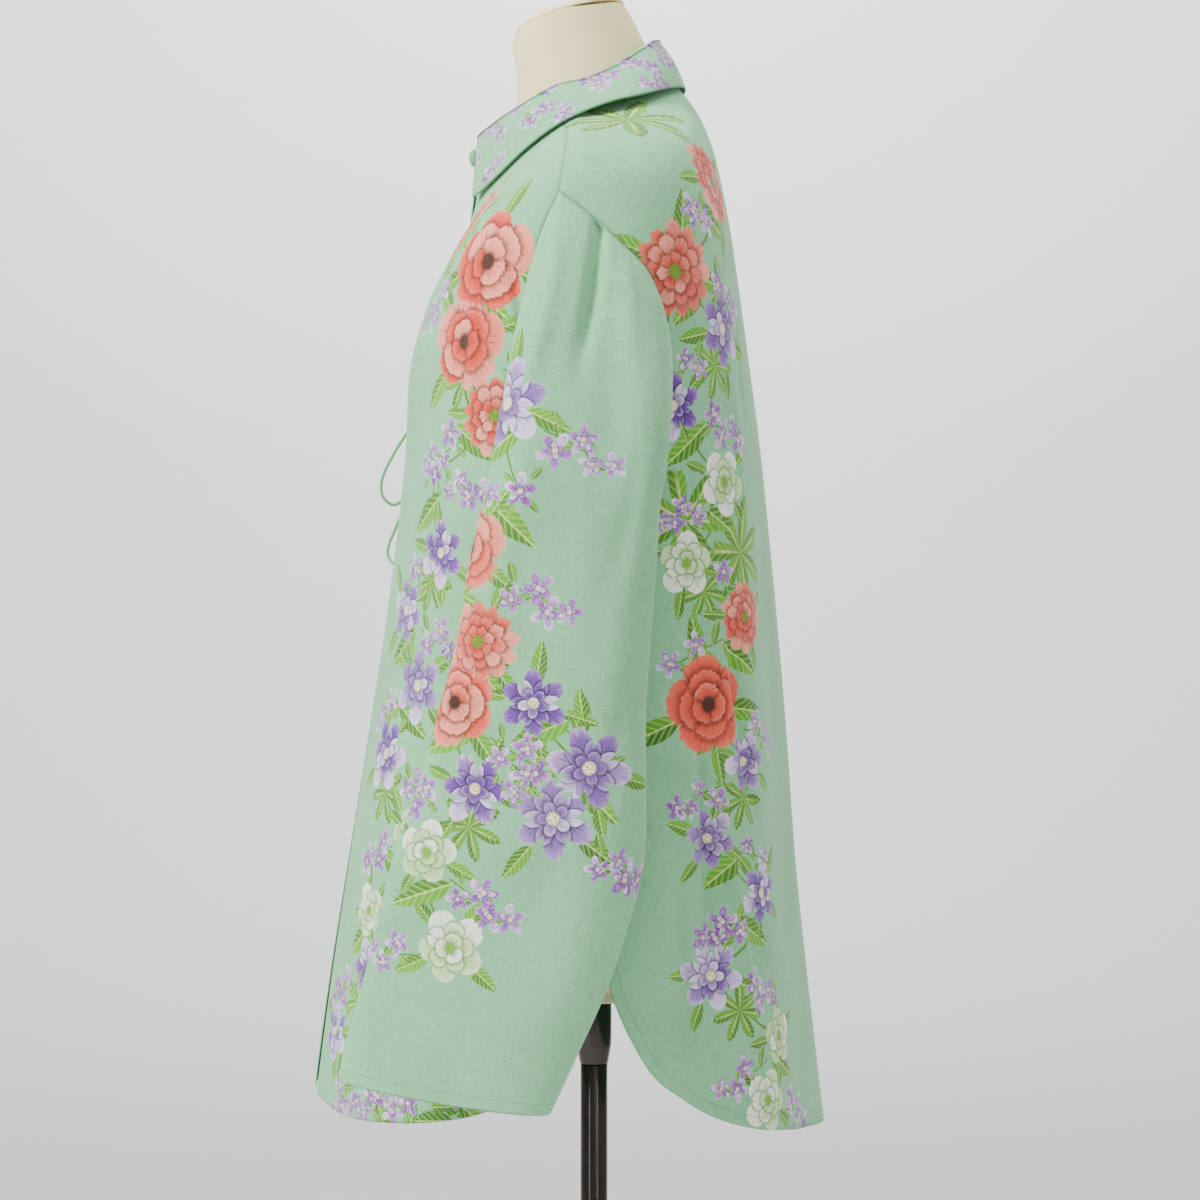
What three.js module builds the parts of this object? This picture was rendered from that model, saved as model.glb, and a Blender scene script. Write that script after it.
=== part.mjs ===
// A long shirt-shaped tunic of printed linen, worn by a limbless dress form on a stand.
// Millimetres. X is the wearer's left, Y the back and Z up. The origin is on the floor under the pole.
import * as THREE from 'three';

// Cloth
const WALL = 1.2;
const SEAM_GAP = 0.3;
const ARMHOLE_GAP = 0.7;
const LAP = 16;
const LAP_DEPTH = WALL + 0.9;
const LAP_EDGE = LAP + 2;
const LAP_BLEND = 18;
const STAND_LIFT = 0.4;
const STAND_END_LIFT = 1.2;
const FRONT_EASE = 0.1;
const BACK_FALL = 1.7;
const LEAF_WALL = 1.3;
const LEAF_ROLL = 3.2;
const LEAF_CLEAR = 3.9;
const BODY_ROWS = { armhole: 8, sideSeam: 11 };
const NECK_ANGLES = { front: [16, 32, 48, 64, 80.5], back: [180, 160, 140, 120, 100, 80.5] };
const SHOULDER_COLUMNS = 5;
const SHOULDER_ANGLE = 80.5;
const SHOULDER_END_Z = 1356;
const SIDE_ANGLE = 90;
const SLEEVE_HEAD_ROWS = 7;
const SLEEVE_ROWS = 10;
const SLEEVE_CLEAR = 4;
const ARMPIT_EASE = 8;

// Steps by which slopes are measured and places found
const ANGLE_STEP = 0.6;
const LEVEL_STEP = 0.02;
const HALVINGS = 40;
const PLACE_PASSES = 12;

// Body of the tunic, a row for each ring from the neck seam down.
// A ring is half as wide as half, and its height runs from zFront over zSide to zBack.
const BODY = [
  { half: 66, zSide: 1444, yFront: -95.5, zFront: 1398, yBack: 64, zBack: 1476, ySide: -13, square: 2.0 },
  { half: 115, zSide: 1422, yFront: -98, zFront: 1371, yBack: 82, zBack: 1452, ySide: -8, square: 1.85 },
  { half: 165, zSide: 1401, yFront: -101, zFront: 1351, yBack: 93, zBack: 1424, ySide: -2, square: 2.15 },
  { half: 196, zSide: 1376, yFront: -109, zFront: 1334, yBack: 100, zBack: 1392, ySide: 2, square: 2.4 },
  { half: 206, zSide: 1345, yFront: -119, zFront: 1314, yBack: 107, zBack: 1352, ySide: 5, square: 2.6 },
  { half: 209, zSide: 1300, yFront: -131, zFront: 1290, yBack: 114, zBack: 1305, ySide: 6, square: 2.6 },
  { half: 208, zSide: 1242, yFront: -145, zFront: 1242, yBack: 123, zBack: 1242, ySide: 6, square: 2.5 },
  { half: 203, zSide: 1170, yFront: -149.5, zFront: 1170, yBack: 133, zBack: 1170, ySide: 6, square: 2.4 },
  { half: 198, zSide: 1068, yFront: -162, zFront: 1068, yBack: 144, zBack: 1068, ySide: 6, square: 2.2 },
  { half: 196, zSide: 959, yFront: -179, zFront: 959, yBack: 153.5, zBack: 959, ySide: 7, square: 2.05 },
  { half: 198, zSide: 855, yFront: -196, zFront: 855, yBack: 161, zBack: 855, ySide: 8, square: 1.95 },
  { half: 201, zSide: 769, yFront: -210, zFront: 769, yBack: 170, zBack: 769, ySide: 8, square: 1.85 },
  { half: 205, zSide: 690, yFront: -221, zFront: 690, yBack: 179, zBack: 690, ySide: 8, square: 1.8 },
  { half: 207, zSide: 630, yFront: -228, zFront: 630, yBack: 186, zBack: 630, ySide: 8, square: 1.8 },
];

// Soft folds of the body: a ridge stands out and a trough goes in, over width degrees round.
const BODY_FOLDS = [
  { angle: 34, width: 13, depth: 5, zTop: 1040, zLow: 700 },
  { angle: 58, width: 12, depth: -4, zTop: 980, zLow: 720 },
  { angle: 118, width: 10, depth: -6, zTop: 960, zLow: 700 },
  { angle: 136, width: 12, depth: 5, zTop: 1180, zLow: 680 },
  { angle: 158, width: 11, depth: -5, zTop: 1240, zLow: 660 },
];
const FOLD_FADE = 160;

// Curved shirt-tail hems, from the centre of the panel to the top of the side vent.
const HEM_FRONT = [
  { angle: 6, z: 678 },
  { angle: 20, z: 675.5 },
  { angle: 33, z: 673 },
  { angle: 45, z: 675.5 },
  { angle: 55, z: 681 },
  { angle: 63, z: 689 },
  { angle: 71, z: 703 },
  { angle: 78.5, z: 728 },
  { angle: 85, z: 762 },
  { angle: 90, z: 800 },
];
const HEM_BACK = [
  { angle: 180, z: 648 },
  { angle: 166, z: 653 },
  { angle: 153, z: 659 },
  { angle: 141, z: 667 },
  { angle: 131, z: 674 },
  { angle: 121, z: 686 },
  { angle: 112, z: 703 },
  { angle: 104.5, z: 720 },
  { angle: 98.5, z: 745 },
  { angle: 93.5, z: 772 },
  { angle: 90, z: 798 },
];

// Armhole of the dropped shoulder, seen from the side, from the shoulder seam down to the armpit.
const ARMPIT = { y: 5, z: 1160 };
const ARMHOLE_BACK = [
  { y: 0, z: 1336 },
  { y: 20, z: 1318 },
  { y: 39, z: 1298 },
  { y: 50, z: 1262 },
  { y: 48, z: 1215 },
  { y: 32, z: 1177 },
];
const ARMHOLE_FRONT = [
  { y: -38, z: 1325 },
  { y: -46, z: 1290 },
  { y: -50, z: 1250 },
  { y: -46, z: 1207 },
  { y: -26, z: 1172 },
];
const ARMHOLE_MIDDLE = { x: 206, y: 0, z: 1258 };

// Sleeve below the armpit: the front and back ends of each flat oval section and how thick it is.
const SLEEVE = [
  { zFront: 1130, zBack: 1130, yFront: -78, yBack: 47, xFront: 233, xBack: 236, thick: 50 },
  { zFront: 1080, zBack: 1080, yFront: -89, yBack: 44, xFront: 230, xBack: 236, thick: 54 },
  { zFront: 1030, zBack: 1030, yFront: -97, yBack: 40, xFront: 226, xBack: 236, thick: 56 },
  { zFront: 980, zBack: 980, yFront: -110.5, yBack: 37, xFront: 222, xBack: 236, thick: 57 },
  { zFront: 930, zBack: 930, yFront: -124.5, yBack: 37, xFront: 217, xBack: 236, thick: 57 },
  { zFront: 880, zBack: 880, yFront: -142, yBack: 35.5, xFront: 212, xBack: 236, thick: 57 },
  { zFront: 836, zBack: 832, yFront: -153, yBack: 24, xFront: 207, xBack: 236, thick: 56 },
  { zFront: 795, zBack: 786, yFront: -163, yBack: 8, xFront: 203, xBack: 236, thick: 55 },
  { zFront: 757, zBack: 742, yFront: -174, yBack: -12, xFront: 199, xBack: 236, thick: 54 },
  { zFront: 720.5, zBack: 703, yFront: -182, yBack: -30, xFront: 196, xBack: 236, thick: 53 },
];
const SLEEVE_SQUARE = 2.3;
const SLEEVE_LEAN = { x: 0, y: -0.22, z: -1 };

// How the sleeve head leaves the armhole and reaches the sleeve, at the armpit and at the shoulder.
const HEAD_LOW = { x: 1, z: -0.15, start: 18, end: 26 };
const HEAD_HIGH = { x: 0.62, z: -0.78, start: 150, end: 190 };
const HEAD_SPREAD = 0.42;

// Soft folds of the sleeve. Round runs from the outer wall over the back to the front, in degrees.
const SLEEVE_FOLDS = [
  { round: 20, width: 16, depth: -5, zTop: 1330, zLow: 1180 },
  { round: -34, width: 16, depth: 3, zTop: 1300, zLow: 1150 },
  { round: 40, width: 22, depth: 3, zTop: 1120, zLow: 800 },
  { round: -30, width: 22, depth: -3, zTop: 1040, zLow: 760 },
];
const SLEEVE_FADE = 70;

// Collar: the stand rises from the neck seam to this ring, and the leaf rolls over it.
const FOLD_RING = {
  half: 59,
  zSide: 1463,
  yFront: -92.5,
  zFront: 1428,
  yBack: 47,
  zBack: 1507,
  ySide: -18,
  square: 2,
};
const STAND_END = 10;
const STAND_LAP_ANGLE = 20;
const STAND_ROWS = 3;
const LEAF_DROP_ROWS = 4;
const LEAF_BELLY = 3;
const LEAF_TURNS = [180, 125, 70, 15];
const NECK_SAMPLES = { angle: 2, level: 0.06, lastLevel: 2.5 };

// Lower edge of the turned-down leaf, at the column of the fold that has this angle.
const LEAF_EDGE = [
  { angle: 7, x: 47, y: -95, z: 1377 },
  { angle: 20, x: 66, y: -83, z: 1382.5 },
  { angle: 36, x: 82, y: -65, z: 1392.5 },
  { angle: 54, x: 93, y: -42, z: 1412 },
  { angle: 72, x: 101, y: -20, z: 1427 },
  { angle: 92, x: 99, y: 4, z: 1439 },
  { angle: 115, x: 84, y: 33, z: 1449 },
  { angle: 140, x: 57, y: 56, z: 1460 },
  { angle: 160, x: 29, y: 69, z: 1467 },
  { angle: 180, x: 0, y: 73, z: 1470 },
];
const BUTTON = { radius: 7.2, height: 6, z: 1416.5, gap: 0.3 };

// Profile of the button's dome, as shares of its radius and its height.
const BUTTON_DOME = [
  { out: 0, up: 0 },
  { out: 0.89, up: 0 },
  { out: 1, up: 0.2 },
  { out: 0.9, up: 0.55 },
  { out: 0.6, up: 0.88 },
  { out: 0.3, up: 0.98 },
  { out: 0, up: 1 },
];

// Cord loops at the centre front, through these points as seen from the side.
const LOOP_RADIUS = 1.25;
const LOOP_SIDES = 8;
const LOOP_STEP = 5;
const LOOP_BOW = 5;
const LOOP_UPPER = [
  { y: -149.6, z: 1197 },
  { y: -157, z: 1185 },
  { y: -163, z: 1174 },
  { y: -168, z: 1163 },
  { y: -170, z: 1153.5 },
  { y: -168.5, z: 1145.5 },
  { y: -164, z: 1140.5 },
  { y: -159, z: 1139 },
  { y: -154.2, z: 1142 },
];
const LOOP_LOWER = [
  { y: -155.8, z: 1128 },
  { y: -160, z: 1118 },
  { y: -164, z: 1109 },
  { y: -165.5, z: 1101 },
  { y: -164, z: 1096 },
  { y: -160.6, z: 1092 },
];

// Dress form, a row for each ring from the seam of its neck cap down.
const FORM = [
  { half: 47, zSide: 1526, yFront: -63, zFront: 1514, yBack: 24, zBack: 1538, ySide: -19, square: 2 },
  { half: 49, zSide: 1508, yFront: -66.5, zFront: 1502, yBack: 34, zBack: 1522, ySide: -15, square: 2 },
  { half: 51, zSide: 1474, yFront: -58, zFront: 1462, yBack: 47, zBack: 1492, ySide: -9, square: 2 },
  { half: 60, zSide: 1433, yFront: -78, zFront: 1396, yBack: 56, zBack: 1463, ySide: -12, square: 2 },
  { half: 113, zSide: 1416, yFront: -92, zFront: 1366, yBack: 75, zBack: 1443, ySide: -8, square: 1.85 },
  { half: 161, zSide: 1398.4, yFront: -96.5, zFront: 1346, yBack: 88, zBack: 1418.6, ySide: -2, square: 2.06 },
  { half: 184, zSide: 1373, yFront: -103, zFront: 1331, yBack: 96, zBack: 1389, ySide: 2, square: 2.3 },
  { half: 189, zSide: 1345, yFront: -113, zFront: 1313, yBack: 102, zBack: 1352, ySide: 4, square: 2.3 },
  { half: 182, zSide: 1296, yFront: -125.5, zFront: 1290, yBack: 108, zBack: 1300, ySide: 4, square: 2.4 },
  { half: 168, zSide: 1240, yFront: -139, zFront: 1240, yBack: 107, zBack: 1240, ySide: 2, square: 2.3 },
  { half: 154, zSide: 1195, yFront: -134, zFront: 1195, yBack: 99, zBack: 1195, ySide: 0, square: 2.2 },
  { half: 133, zSide: 1130, yFront: -107, zFront: 1130, yBack: 84, zBack: 1130, ySide: 0, square: 2.1 },
  { half: 124, zSide: 1068, yFront: -90, zFront: 1068, yBack: 78, zBack: 1068, ySide: 0, square: 2 },
  { half: 136, zSide: 1000, yFront: -94, zFront: 1000, yBack: 90, zBack: 1000, ySide: 2, square: 2 },
  { half: 156, zSide: 930, yFront: -101, zFront: 930, yBack: 106, zBack: 930, ySide: 4, square: 2 },
  { half: 168, zSide: 868, yFront: -104, zFront: 868, yBack: 115, zBack: 868, ySide: 4, square: 2 },
  { half: 168, zSide: 816, yFront: -102, zFront: 816, yBack: 113, zBack: 816, ySide: 4, square: 2 },
  { half: 158, zSide: 774, yFront: -96, zFront: 774, yBack: 105, zBack: 774, ySide: 4, square: 2 },
];
const FORM_SIDES = 36;
const FORM_ROWS = 24;
const CAP_RISE = 9;
const CAP_EDGE = 1;
const CAP_TURNS = [75, 49, 22.5, 0];
const BOARD_THICK = 7.7;
const BOARD_INSET = 3;

// Stand
const ROUND_SIDES = 32;
const BRACKET = { radius: 14, lowRadius: 11.4, low: 693, taper: 16 };
const POLE_RADIUS = 10.8;
const BASE = { radius: 170, thick: 12, edge: 3 };
const SOCKET = { radius: 24, top: 52, edge: 4 };

// Materials
const LINEN = { color: 0x9cc4a8, roughness: 0.85, metalness: 0 };
const CORD = { color: 0x7fae90, roughness: 0.8, metalness: 0 };
const COTTON = { color: 0xe9e0c4, roughness: 0.9, metalness: 0 };
const CHROME = { color: 0x3a3733, roughness: 0.18, metalness: 0.9 };

const radians = THREE.MathUtils.degToRad;
const clamp = THREE.MathUtils.clamp;
const smoothstep = THREE.MathUtils.smoothstep;
const vector = (point) => new THREE.Vector3(point.x, point.y, point.z);

const tunic = new THREE.Group();

function addMesh(name, geometry, finish) {
  const mesh = new THREE.Mesh(geometry, new THREE.MeshStandardMaterial(finish));
  mesh.name = name;
  tunic.add(mesh);
}

// A row of a table between its own rows, smooth from one to the next.
function rowAt(table, place) {
  const last = table.length - 1;
  const index = Math.min(Math.floor(place), last - 1);
  const part = place - index;
  const near = [-1, 0, 1, 2].map((step) => table[clamp(index + step, 0, last)]);
  const row = {};
  for (const column of Object.keys(table[0])) {
    const [a, b, c, d] = near.map((entry) => entry[column]);
    const bend = (2 * a - 5 * b + 4 * c - d) * part ** 2 + (3 * b - a - 3 * c + d) * part ** 3;
    row[column] = b + 0.5 * ((c - a) * part + bend);
  }
  return row;
}

// The point of a ring at an angle from the centre front, in degrees.
function ringPoint(row, angle) {
  const sine = Math.sin(radians(angle));
  const cosine = Math.cos(radians(angle));
  const power = 2 / row.square;
  const yEnd = cosine > 0 ? row.yFront : row.yBack;
  const zEnd = cosine > 0 ? row.zFront : row.zBack;
  const eased = (value) => Math.hypot(value, FRONT_EASE) - FRONT_EASE;
  const ease = eased(cosine) / eased(1);
  const fall = cosine > 0 ? ease : Math.abs(cosine) ** BACK_FALL;
  return new THREE.Vector3(
    row.half * Math.sign(sine) * Math.abs(sine) ** power,
    row.ySide + (yEnd - row.ySide) * Math.abs(cosine) ** power,
    row.zSide + (zEnd - row.zSide) * fall,
  );
}

// An angle as degrees either way from zero.
const eitherWay = (angle) => ((angle + 180) % 360 + 360) % 360 - 180;

// How far the folds of a table move a point out.
function foldDepth(folds, column, place, z, fade) {
  let depth = 0;
  for (const fold of folds) {
    const away = eitherWay(place - fold[column]);
    const across = Math.exp(-((away / fold.width) ** 2));
    const along = smoothstep(fold.zTop - z, 0, fade) * smoothstep(z - fold.zLow + fade, 0, fade);
    depth += fold.depth * across * along;
  }
  return depth;
}

function plainBodyPoint(angle, level) {
  return ringPoint(rowAt(BODY, clamp(level, 0, BODY.length - 1)), angle);
}

// The body's outer surface, with its folds, at an angle and a level of the table.
// Both sides have the same folds.
function bodyPoint(angle, level) {
  const point = plainBodyPoint(angle, level);
  const side = Math.abs(eitherWay(angle));
  const out = new THREE.Vector3(point.x, point.y - BODY[0].ySide, 0).normalize();
  return point.addScaledVector(out, foldDepth(BODY_FOLDS, 'angle', side, point.z, FOLD_FADE));
}

function bodyNormal(angle, level) {
  const round = bodyPoint(angle + ANGLE_STEP, level).sub(bodyPoint(angle - ANGLE_STEP, level));
  const high = clamp(level - LEVEL_STEP, 0, BODY.length - 1);
  const low = clamp(level + LEVEL_STEP, 0, BODY.length - 1);
  const down = bodyPoint(angle, low).sub(bodyPoint(angle, high));
  return down.cross(round).normalize();
}

// The level of the body at a height, for one angle.
function levelAt(angle, z) {
  let high = 0;
  let low = BODY.length - 1;
  for (let step = 0; step < HALVINGS; step += 1) {
    const middle = (high + low) / 2;
    if (plainBodyPoint(angle, middle).z > z) high = middle;
    else low = middle;
  }
  return (high + low) / 2;
}

// The place on the near side of the body that has this y and z.
function sidePlace(y, z) {
  let angle = SIDE_ANGLE;
  let level = 0;
  for (let step = 0; step < PLACE_PASSES; step += 1) {
    level = levelAt(angle, z);
    const row = rowAt(BODY, level);
    const end = y < row.ySide ? row.yFront : row.yBack;
    const share = clamp((y - row.ySide) / (end - row.ySide), 0, 1);
    const turn = THREE.MathUtils.radToDeg(Math.acos(share ** (row.square / 2)));
    angle = y < row.ySide ? turn : 180 - turn;
  }
  return { angle, level };
}

function angleAtX(x, level) {
  const row = rowAt(BODY, level);
  return THREE.MathUtils.radToDeg(Math.asin((x / row.half) ** (row.square / 2)));
}

// Points spread evenly along a smooth curve.
function spread(points, count) {
  const curve = new THREE.CatmullRomCurve3(points.map(vector), false, 'centripetal');
  return curve.getSpacedPoints(count);
}

// A closed wall of cloth: outer and inner are grids of points, rows down and columns round.
function clothGeometry(outer, inner, joined = false) {
  const rows = outer.length;
  const columns = outer[0].length;
  const positions = [...outer.flat(), ...inner.flat()].flatMap((point) => point.toArray());
  const at = (row, column) => row * columns + (column % columns);
  const within = (row, column) => rows * columns + at(row, column);
  const indices = [];
  const quad = (a, b, c, d) => indices.push(a, b, c, a, c, d);
  const otherQuad = (a, b, c, d) => indices.push(a, b, d, b, c, d);
  const spans = joined ? columns : columns - 1;
  for (let row = 0; row < rows - 1; row += 1) {
    for (let column = 0; column < spans; column += 1) {
      const next = (column + 1) % columns;
      const falling = outer[row][column].distanceTo(outer[row + 1][next]);
      const rising = outer[row + 1][column].distanceTo(outer[row][next]);
      const fill = falling < rising ? quad : otherQuad;
      fill(at(row, column), at(row + 1, column), at(row + 1, next), at(row, next));
      const fillWithin = falling < rising ? otherQuad : quad;
      fillWithin(within(row, next), within(row + 1, next), within(row + 1, column), within(row, column));
    }
  }
  for (let column = 0; column < spans; column += 1) {
    quad(at(0, column), at(0, column + 1), within(0, column + 1), within(0, column));
    const last = rows - 1;
    quad(at(last, column + 1), at(last, column), within(last, column), within(last, column + 1));
  }
  for (let row = 0; row < rows - 1 && !joined; row += 1) {
    const last = columns - 1;
    quad(at(row + 1, 0), at(row, 0), within(row, 0), within(row + 1, 0));
    quad(at(row, last), at(row + 1, last), within(row + 1, last), within(row, last));
  }
  const geometry = new THREE.BufferGeometry();
  geometry.setAttribute('position', new THREE.Float32BufferAttribute(positions, 3));
  geometry.setIndex(indices);
  return geometry;
}

// The inner face of a wall, from the slopes of its outer grid.
function innerGrid(outer, wall, joined = false) {
  const rows = outer.length;
  const columns = outer[0].length;
  return outer.map((line, row) => line.map((point, column) => {
    const above = outer[Math.max(row - 1, 0)][column];
    const below = outer[Math.min(row + 1, rows - 1)][column];
    const left = joined ? line[(column + columns - 1) % columns] : line[Math.max(column - 1, 0)];
    const right = joined ? line[(column + 1) % columns] : line[Math.min(column + 1, columns - 1)];
    const normal = below.clone().sub(above).cross(right.clone().sub(left)).normalize();
    return point.clone().addScaledVector(normal, -wall);
  }));
}

// Fills a four-sided patch of places from its edges. Each edge is a list of angle and level.
function fillPatch(top, bottom, first, last) {
  const rows = first.length - 1;
  const columns = top.length - 1;
  return first.map((start, row) => top.map((head, column) => {
    const u = column / columns;
    const v = row / rows;
    const mix = (key) => {
      const across = (1 - u) * start[key] + u * last[row][key];
      const edges = (1 - v) * head[key] + v * bottom[column][key] + across;
      const upper = (1 - u) * top[0][key] + u * top[columns][key];
      const lower = (1 - u) * bottom[0][key] + u * bottom[columns][key];
      return edges - (1 - v) * upper - v * lower;
    };
    return { angle: mix('angle'), level: mix('level') };
  }));
}

// The edge of a panel along its armhole and down its side seam, as places on the body.
function sideEdge(armhole, ventZ) {
  const end = plainBodyPoint(SHOULDER_ANGLE, levelAt(SHOULDER_ANGLE, SHOULDER_END_Z));
  const loop = [end, ...armhole, ARMPIT].map(({ y, z }) => ({ x: 0, y, z }));
  const edge = spread(loop, BODY_ROWS.armhole).map(({ y, z }) => sidePlace(y, z));
  for (let row = 1; row <= BODY_ROWS.sideSeam; row += 1) {
    const z = THREE.MathUtils.lerp(ARMPIT.z, ventZ, row / BODY_ROWS.sideSeam);
    edge.push({ angle: SIDE_ANGLE, level: levelAt(SIDE_ANGLE, z) });
  }
  return edge;
}

// A half panel, front or back, from its centre to its side: one patch above the armpit, one below.
// Its seams are moved round by shift.
function halfPanel(neckAngles, hem, armhole, shift) {
  const endLevel = levelAt(SHOULDER_ANGLE, SHOULDER_END_Z);
  const top = neckAngles.map((angle) => ({ angle, level: 0 }));
  for (let column = 1; column <= SHOULDER_COLUMNS; column += 1) {
    top.push({ angle: SHOULDER_ANGLE, level: (endLevel * column) / SHOULDER_COLUMNS });
  }
  const last = sideEdge(armhole, hem.at(-1).z);
  const armpitRow = BODY_ROWS.armhole;
  const placeAt = (angle, z) => ({ angle, level: levelAt(angle, z) });
  const chest = hem.map((_, column) => (
    placeAt(THREE.MathUtils.lerp(hem[0].angle, SIDE_ANGLE, column / (hem.length - 1)), ARMPIT.z)
  ));
  chest[hem.length - 1] = last[armpitRow];
  const bottom = hem.map(({ angle, z }) => placeAt(angle, z));
  const first = last.map((_, row) => {
    const below = (row - armpitRow) / BODY_ROWS.sideSeam;
    if (row > armpitRow) return placeAt(hem[0].angle, THREE.MathUtils.lerp(ARMPIT.z, hem[0].z, below));
    const angle = THREE.MathUtils.lerp(neckAngles[0], hem[0].angle, row / armpitRow);
    return placeAt(angle, THREE.MathUtils.lerp(plainBodyPoint(angle, 0).z, ARMPIT.z, row / armpitRow));
  });
  const upper = fillPatch(top, chest, first.slice(0, armpitRow + 1), last.slice(0, armpitRow + 1));
  const lower = fillPatch(chest, bottom, first.slice(armpitRow), last.slice(armpitRow));
  const places = [...upper, ...lower.slice(1)];
  for (const line of places) line.at(-1).shift = shift;
  for (const place of places[0].slice(neckAngles.length - 1)) place.shift = shift;
  return places;
}

// Turns places into a wall. Where the panel lies under its neighbour, it is pushed in.
// Its cut edges stop short of the seam lines by half a seam gap.
function panelGeometry(places, underLap) {
  const outer = [];
  const inner = [];
  for (const line of places) {
    const normals = line.map(({ angle, level }) => bodyNormal(angle, level));
    const points = line.map(({ angle, level, shift = 0 }, column) => {
      const point = bodyPoint(angle, level);
      const round = bodyPoint(angle + ANGLE_STEP, level).sub(bodyPoint(angle - ANGLE_STEP, level));
      point.addScaledVector(round.normalize(), shift);
      const push = underLap ? LAP_DEPTH * (1 - smoothstep(point.x, LAP_EDGE, LAP_EDGE + LAP_BLEND)) : 0;
      return point.addScaledVector(normals[column], -push);
    });
    outer.push(points);
    inner.push(points.map((point, column) => point.clone().addScaledVector(normals[column], -WALL)));
  }
  return clothGeometry(outer, inner);
}

function frontPlaces() {
  const places = halfPanel(NECK_ANGLES.front, HEM_FRONT, ARMHOLE_FRONT, -SEAM_GAP / 2);
  return places.map((line) => {
    const level = line[0].level;
    const lapPlaces = [
      { angle: -angleAtX(LAP, level), level },
      { angle: angleAtX(LAP_EDGE, level), level },
    ];
    return [...lapPlaces, ...line.slice(1)];
  });
}

const mirrored = (places) => places.map((line) => line
  .map(({ angle, level, shift = 0 }) => ({ angle: -angle, level, shift: -shift }))
  .reverse());

function addFronts() {
  const left = frontPlaces();
  addMesh('front_left', panelGeometry(left, true), LINEN);
  addMesh('front_right', panelGeometry(mirrored(left), false), LINEN);
}

function addBack() {
  const half = halfPanel(NECK_ANGLES.back, HEM_BACK, ARMHOLE_BACK, SEAM_GAP / 2);
  const places = half.map((line) => {
    const other = line.slice(1);
    return [...line.reverse(), ...other.map(({ angle, level, shift = 0 }) => (
      { angle: 360 - angle, level, shift: -shift }
    ))];
  });
  addMesh('back', panelGeometry(places, false), LINEN);
}

// How far up the armhole a height is: 0 at the armpit and 1 at the shoulder seam.
const headShare = (z) => clamp((z - ARMPIT.z) / (SHOULDER_END_Z - ARMPIT.z), 0, 1);

// The armhole as a closed line, from the shoulder seam over the back and the armpit to the front.
// It has the panels' own edge points and one between each two, moved just inside the hole.
function armholeLine() {
  const edgePoints = (armhole) => sideEdge(armhole, ARMPIT.z)
    .slice(0, BODY_ROWS.armhole + 1)
    .map(({ angle, level }) => bodyPoint(angle, level));
  const back = edgePoints(ARMHOLE_BACK);
  const front = edgePoints(ARMHOLE_FRONT).reverse();
  const corners = [...back, ...front.slice(1, -1)];
  const middle = vector(ARMHOLE_MIDDLE);
  return corners.flatMap((corner, index) => {
    const next = corners[(index + 1) % corners.length];
    return [corner, corner.clone().lerp(next, 0.5)];
  }).map((point) => {
    const inward = middle.clone().sub(point).normalize();
    const outward = new THREE.Vector3(ARMHOLE_GAP * (1 - headShare(point.z)), 0, 0);
    return point.clone().addScaledVector(inward, ARMHOLE_GAP).add(outward);
  });
}

// A point of the sleeve's section. Round is 0 at the outer wall, 90 at the back and 180 inside.
function sleevePoint(row, round) {
  const sine = Math.sin(radians(round));
  const cosine = Math.cos(radians(round));
  const power = 2 / SLEEVE_SQUARE;
  const along = Math.sign(sine) * Math.abs(sine) ** power;
  const across = Math.sign(cosine) * Math.abs(cosine) ** power;
  const front = new THREE.Vector3(row.xFront, row.yFront, row.zFront);
  const back = new THREE.Vector3(row.xBack, row.yBack, row.zBack);
  const half = back.clone().sub(front).multiplyScalar(0.5);
  const side = new THREE.Vector3(half.y, -half.x, 0).normalize();
  return front.add(half).addScaledVector(half, along).addScaledVector(side, (across * row.thick) / 2);
}

// Moves a sleeve point out where it would come too near the body.
function clearOfBody(point) {
  if (point.z > ARMPIT.z - ARMPIT_EASE) return point;
  const { angle, level } = sidePlace(point.y, point.z);
  const wallX = bodyPoint(angle, level).x + SLEEVE_CLEAR;
  return new THREE.Vector3(Math.max(point.x, wallX), point.y, point.z);
}

function sleeveGrid() {
  const start = armholeLine();
  const count = start.length;
  const rounds = start.map((_, index) => (360 * index) / count);
  const rowsBelow = Array.from({ length: SLEEVE_ROWS }, (_, row) => (
    rowAt(SLEEVE, ((SLEEVE.length - 1) * row) / (SLEEVE_ROWS - 1))
  ));
  const lean = vector(SLEEVE_LEAN).normalize();
  const grid = [];
  for (let row = 0; row < SLEEVE_HEAD_ROWS; row += 1) {
    const part = row / SLEEVE_HEAD_ROWS;
    grid.push(start.map((from, index) => {
      const to = sleevePoint(rowsBelow[0], rounds[index]);
      const share = headShare(from.z);
      const between = (key) => THREE.MathUtils.lerp(HEAD_LOW[key], HEAD_HIGH[key], share);
      const side = HEAD_SPREAD * Math.sin(radians(rounds[index]));
      const slope = new THREE.Vector3(between('x'), side, between('z'));
      slope.normalize().multiplyScalar(between('start'));
      const arrive = lean.clone().multiplyScalar(between('end'));
      const square = part ** 2;
      const cube = part ** 3;
      return from.clone().multiplyScalar(2 * cube - 3 * square + 1)
        .addScaledVector(slope, cube - 2 * square + part)
        .addScaledVector(to, 3 * square - 2 * cube)
        .addScaledVector(arrive, cube - square);
    }));
  }
  for (const row of rowsBelow) {
    grid.push(rounds.map((round) => clearOfBody(sleevePoint(row, round))));
  }
  const [seam, ...rest] = grid;
  const folded = rest.map((line) => line.map(({ x, y, z }, index) => (
    new THREE.Vector3(x + foldDepth(SLEEVE_FOLDS, 'round', rounds[index], z, SLEEVE_FADE), y, z)
  )));
  return [seam, ...folded];
}

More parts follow.
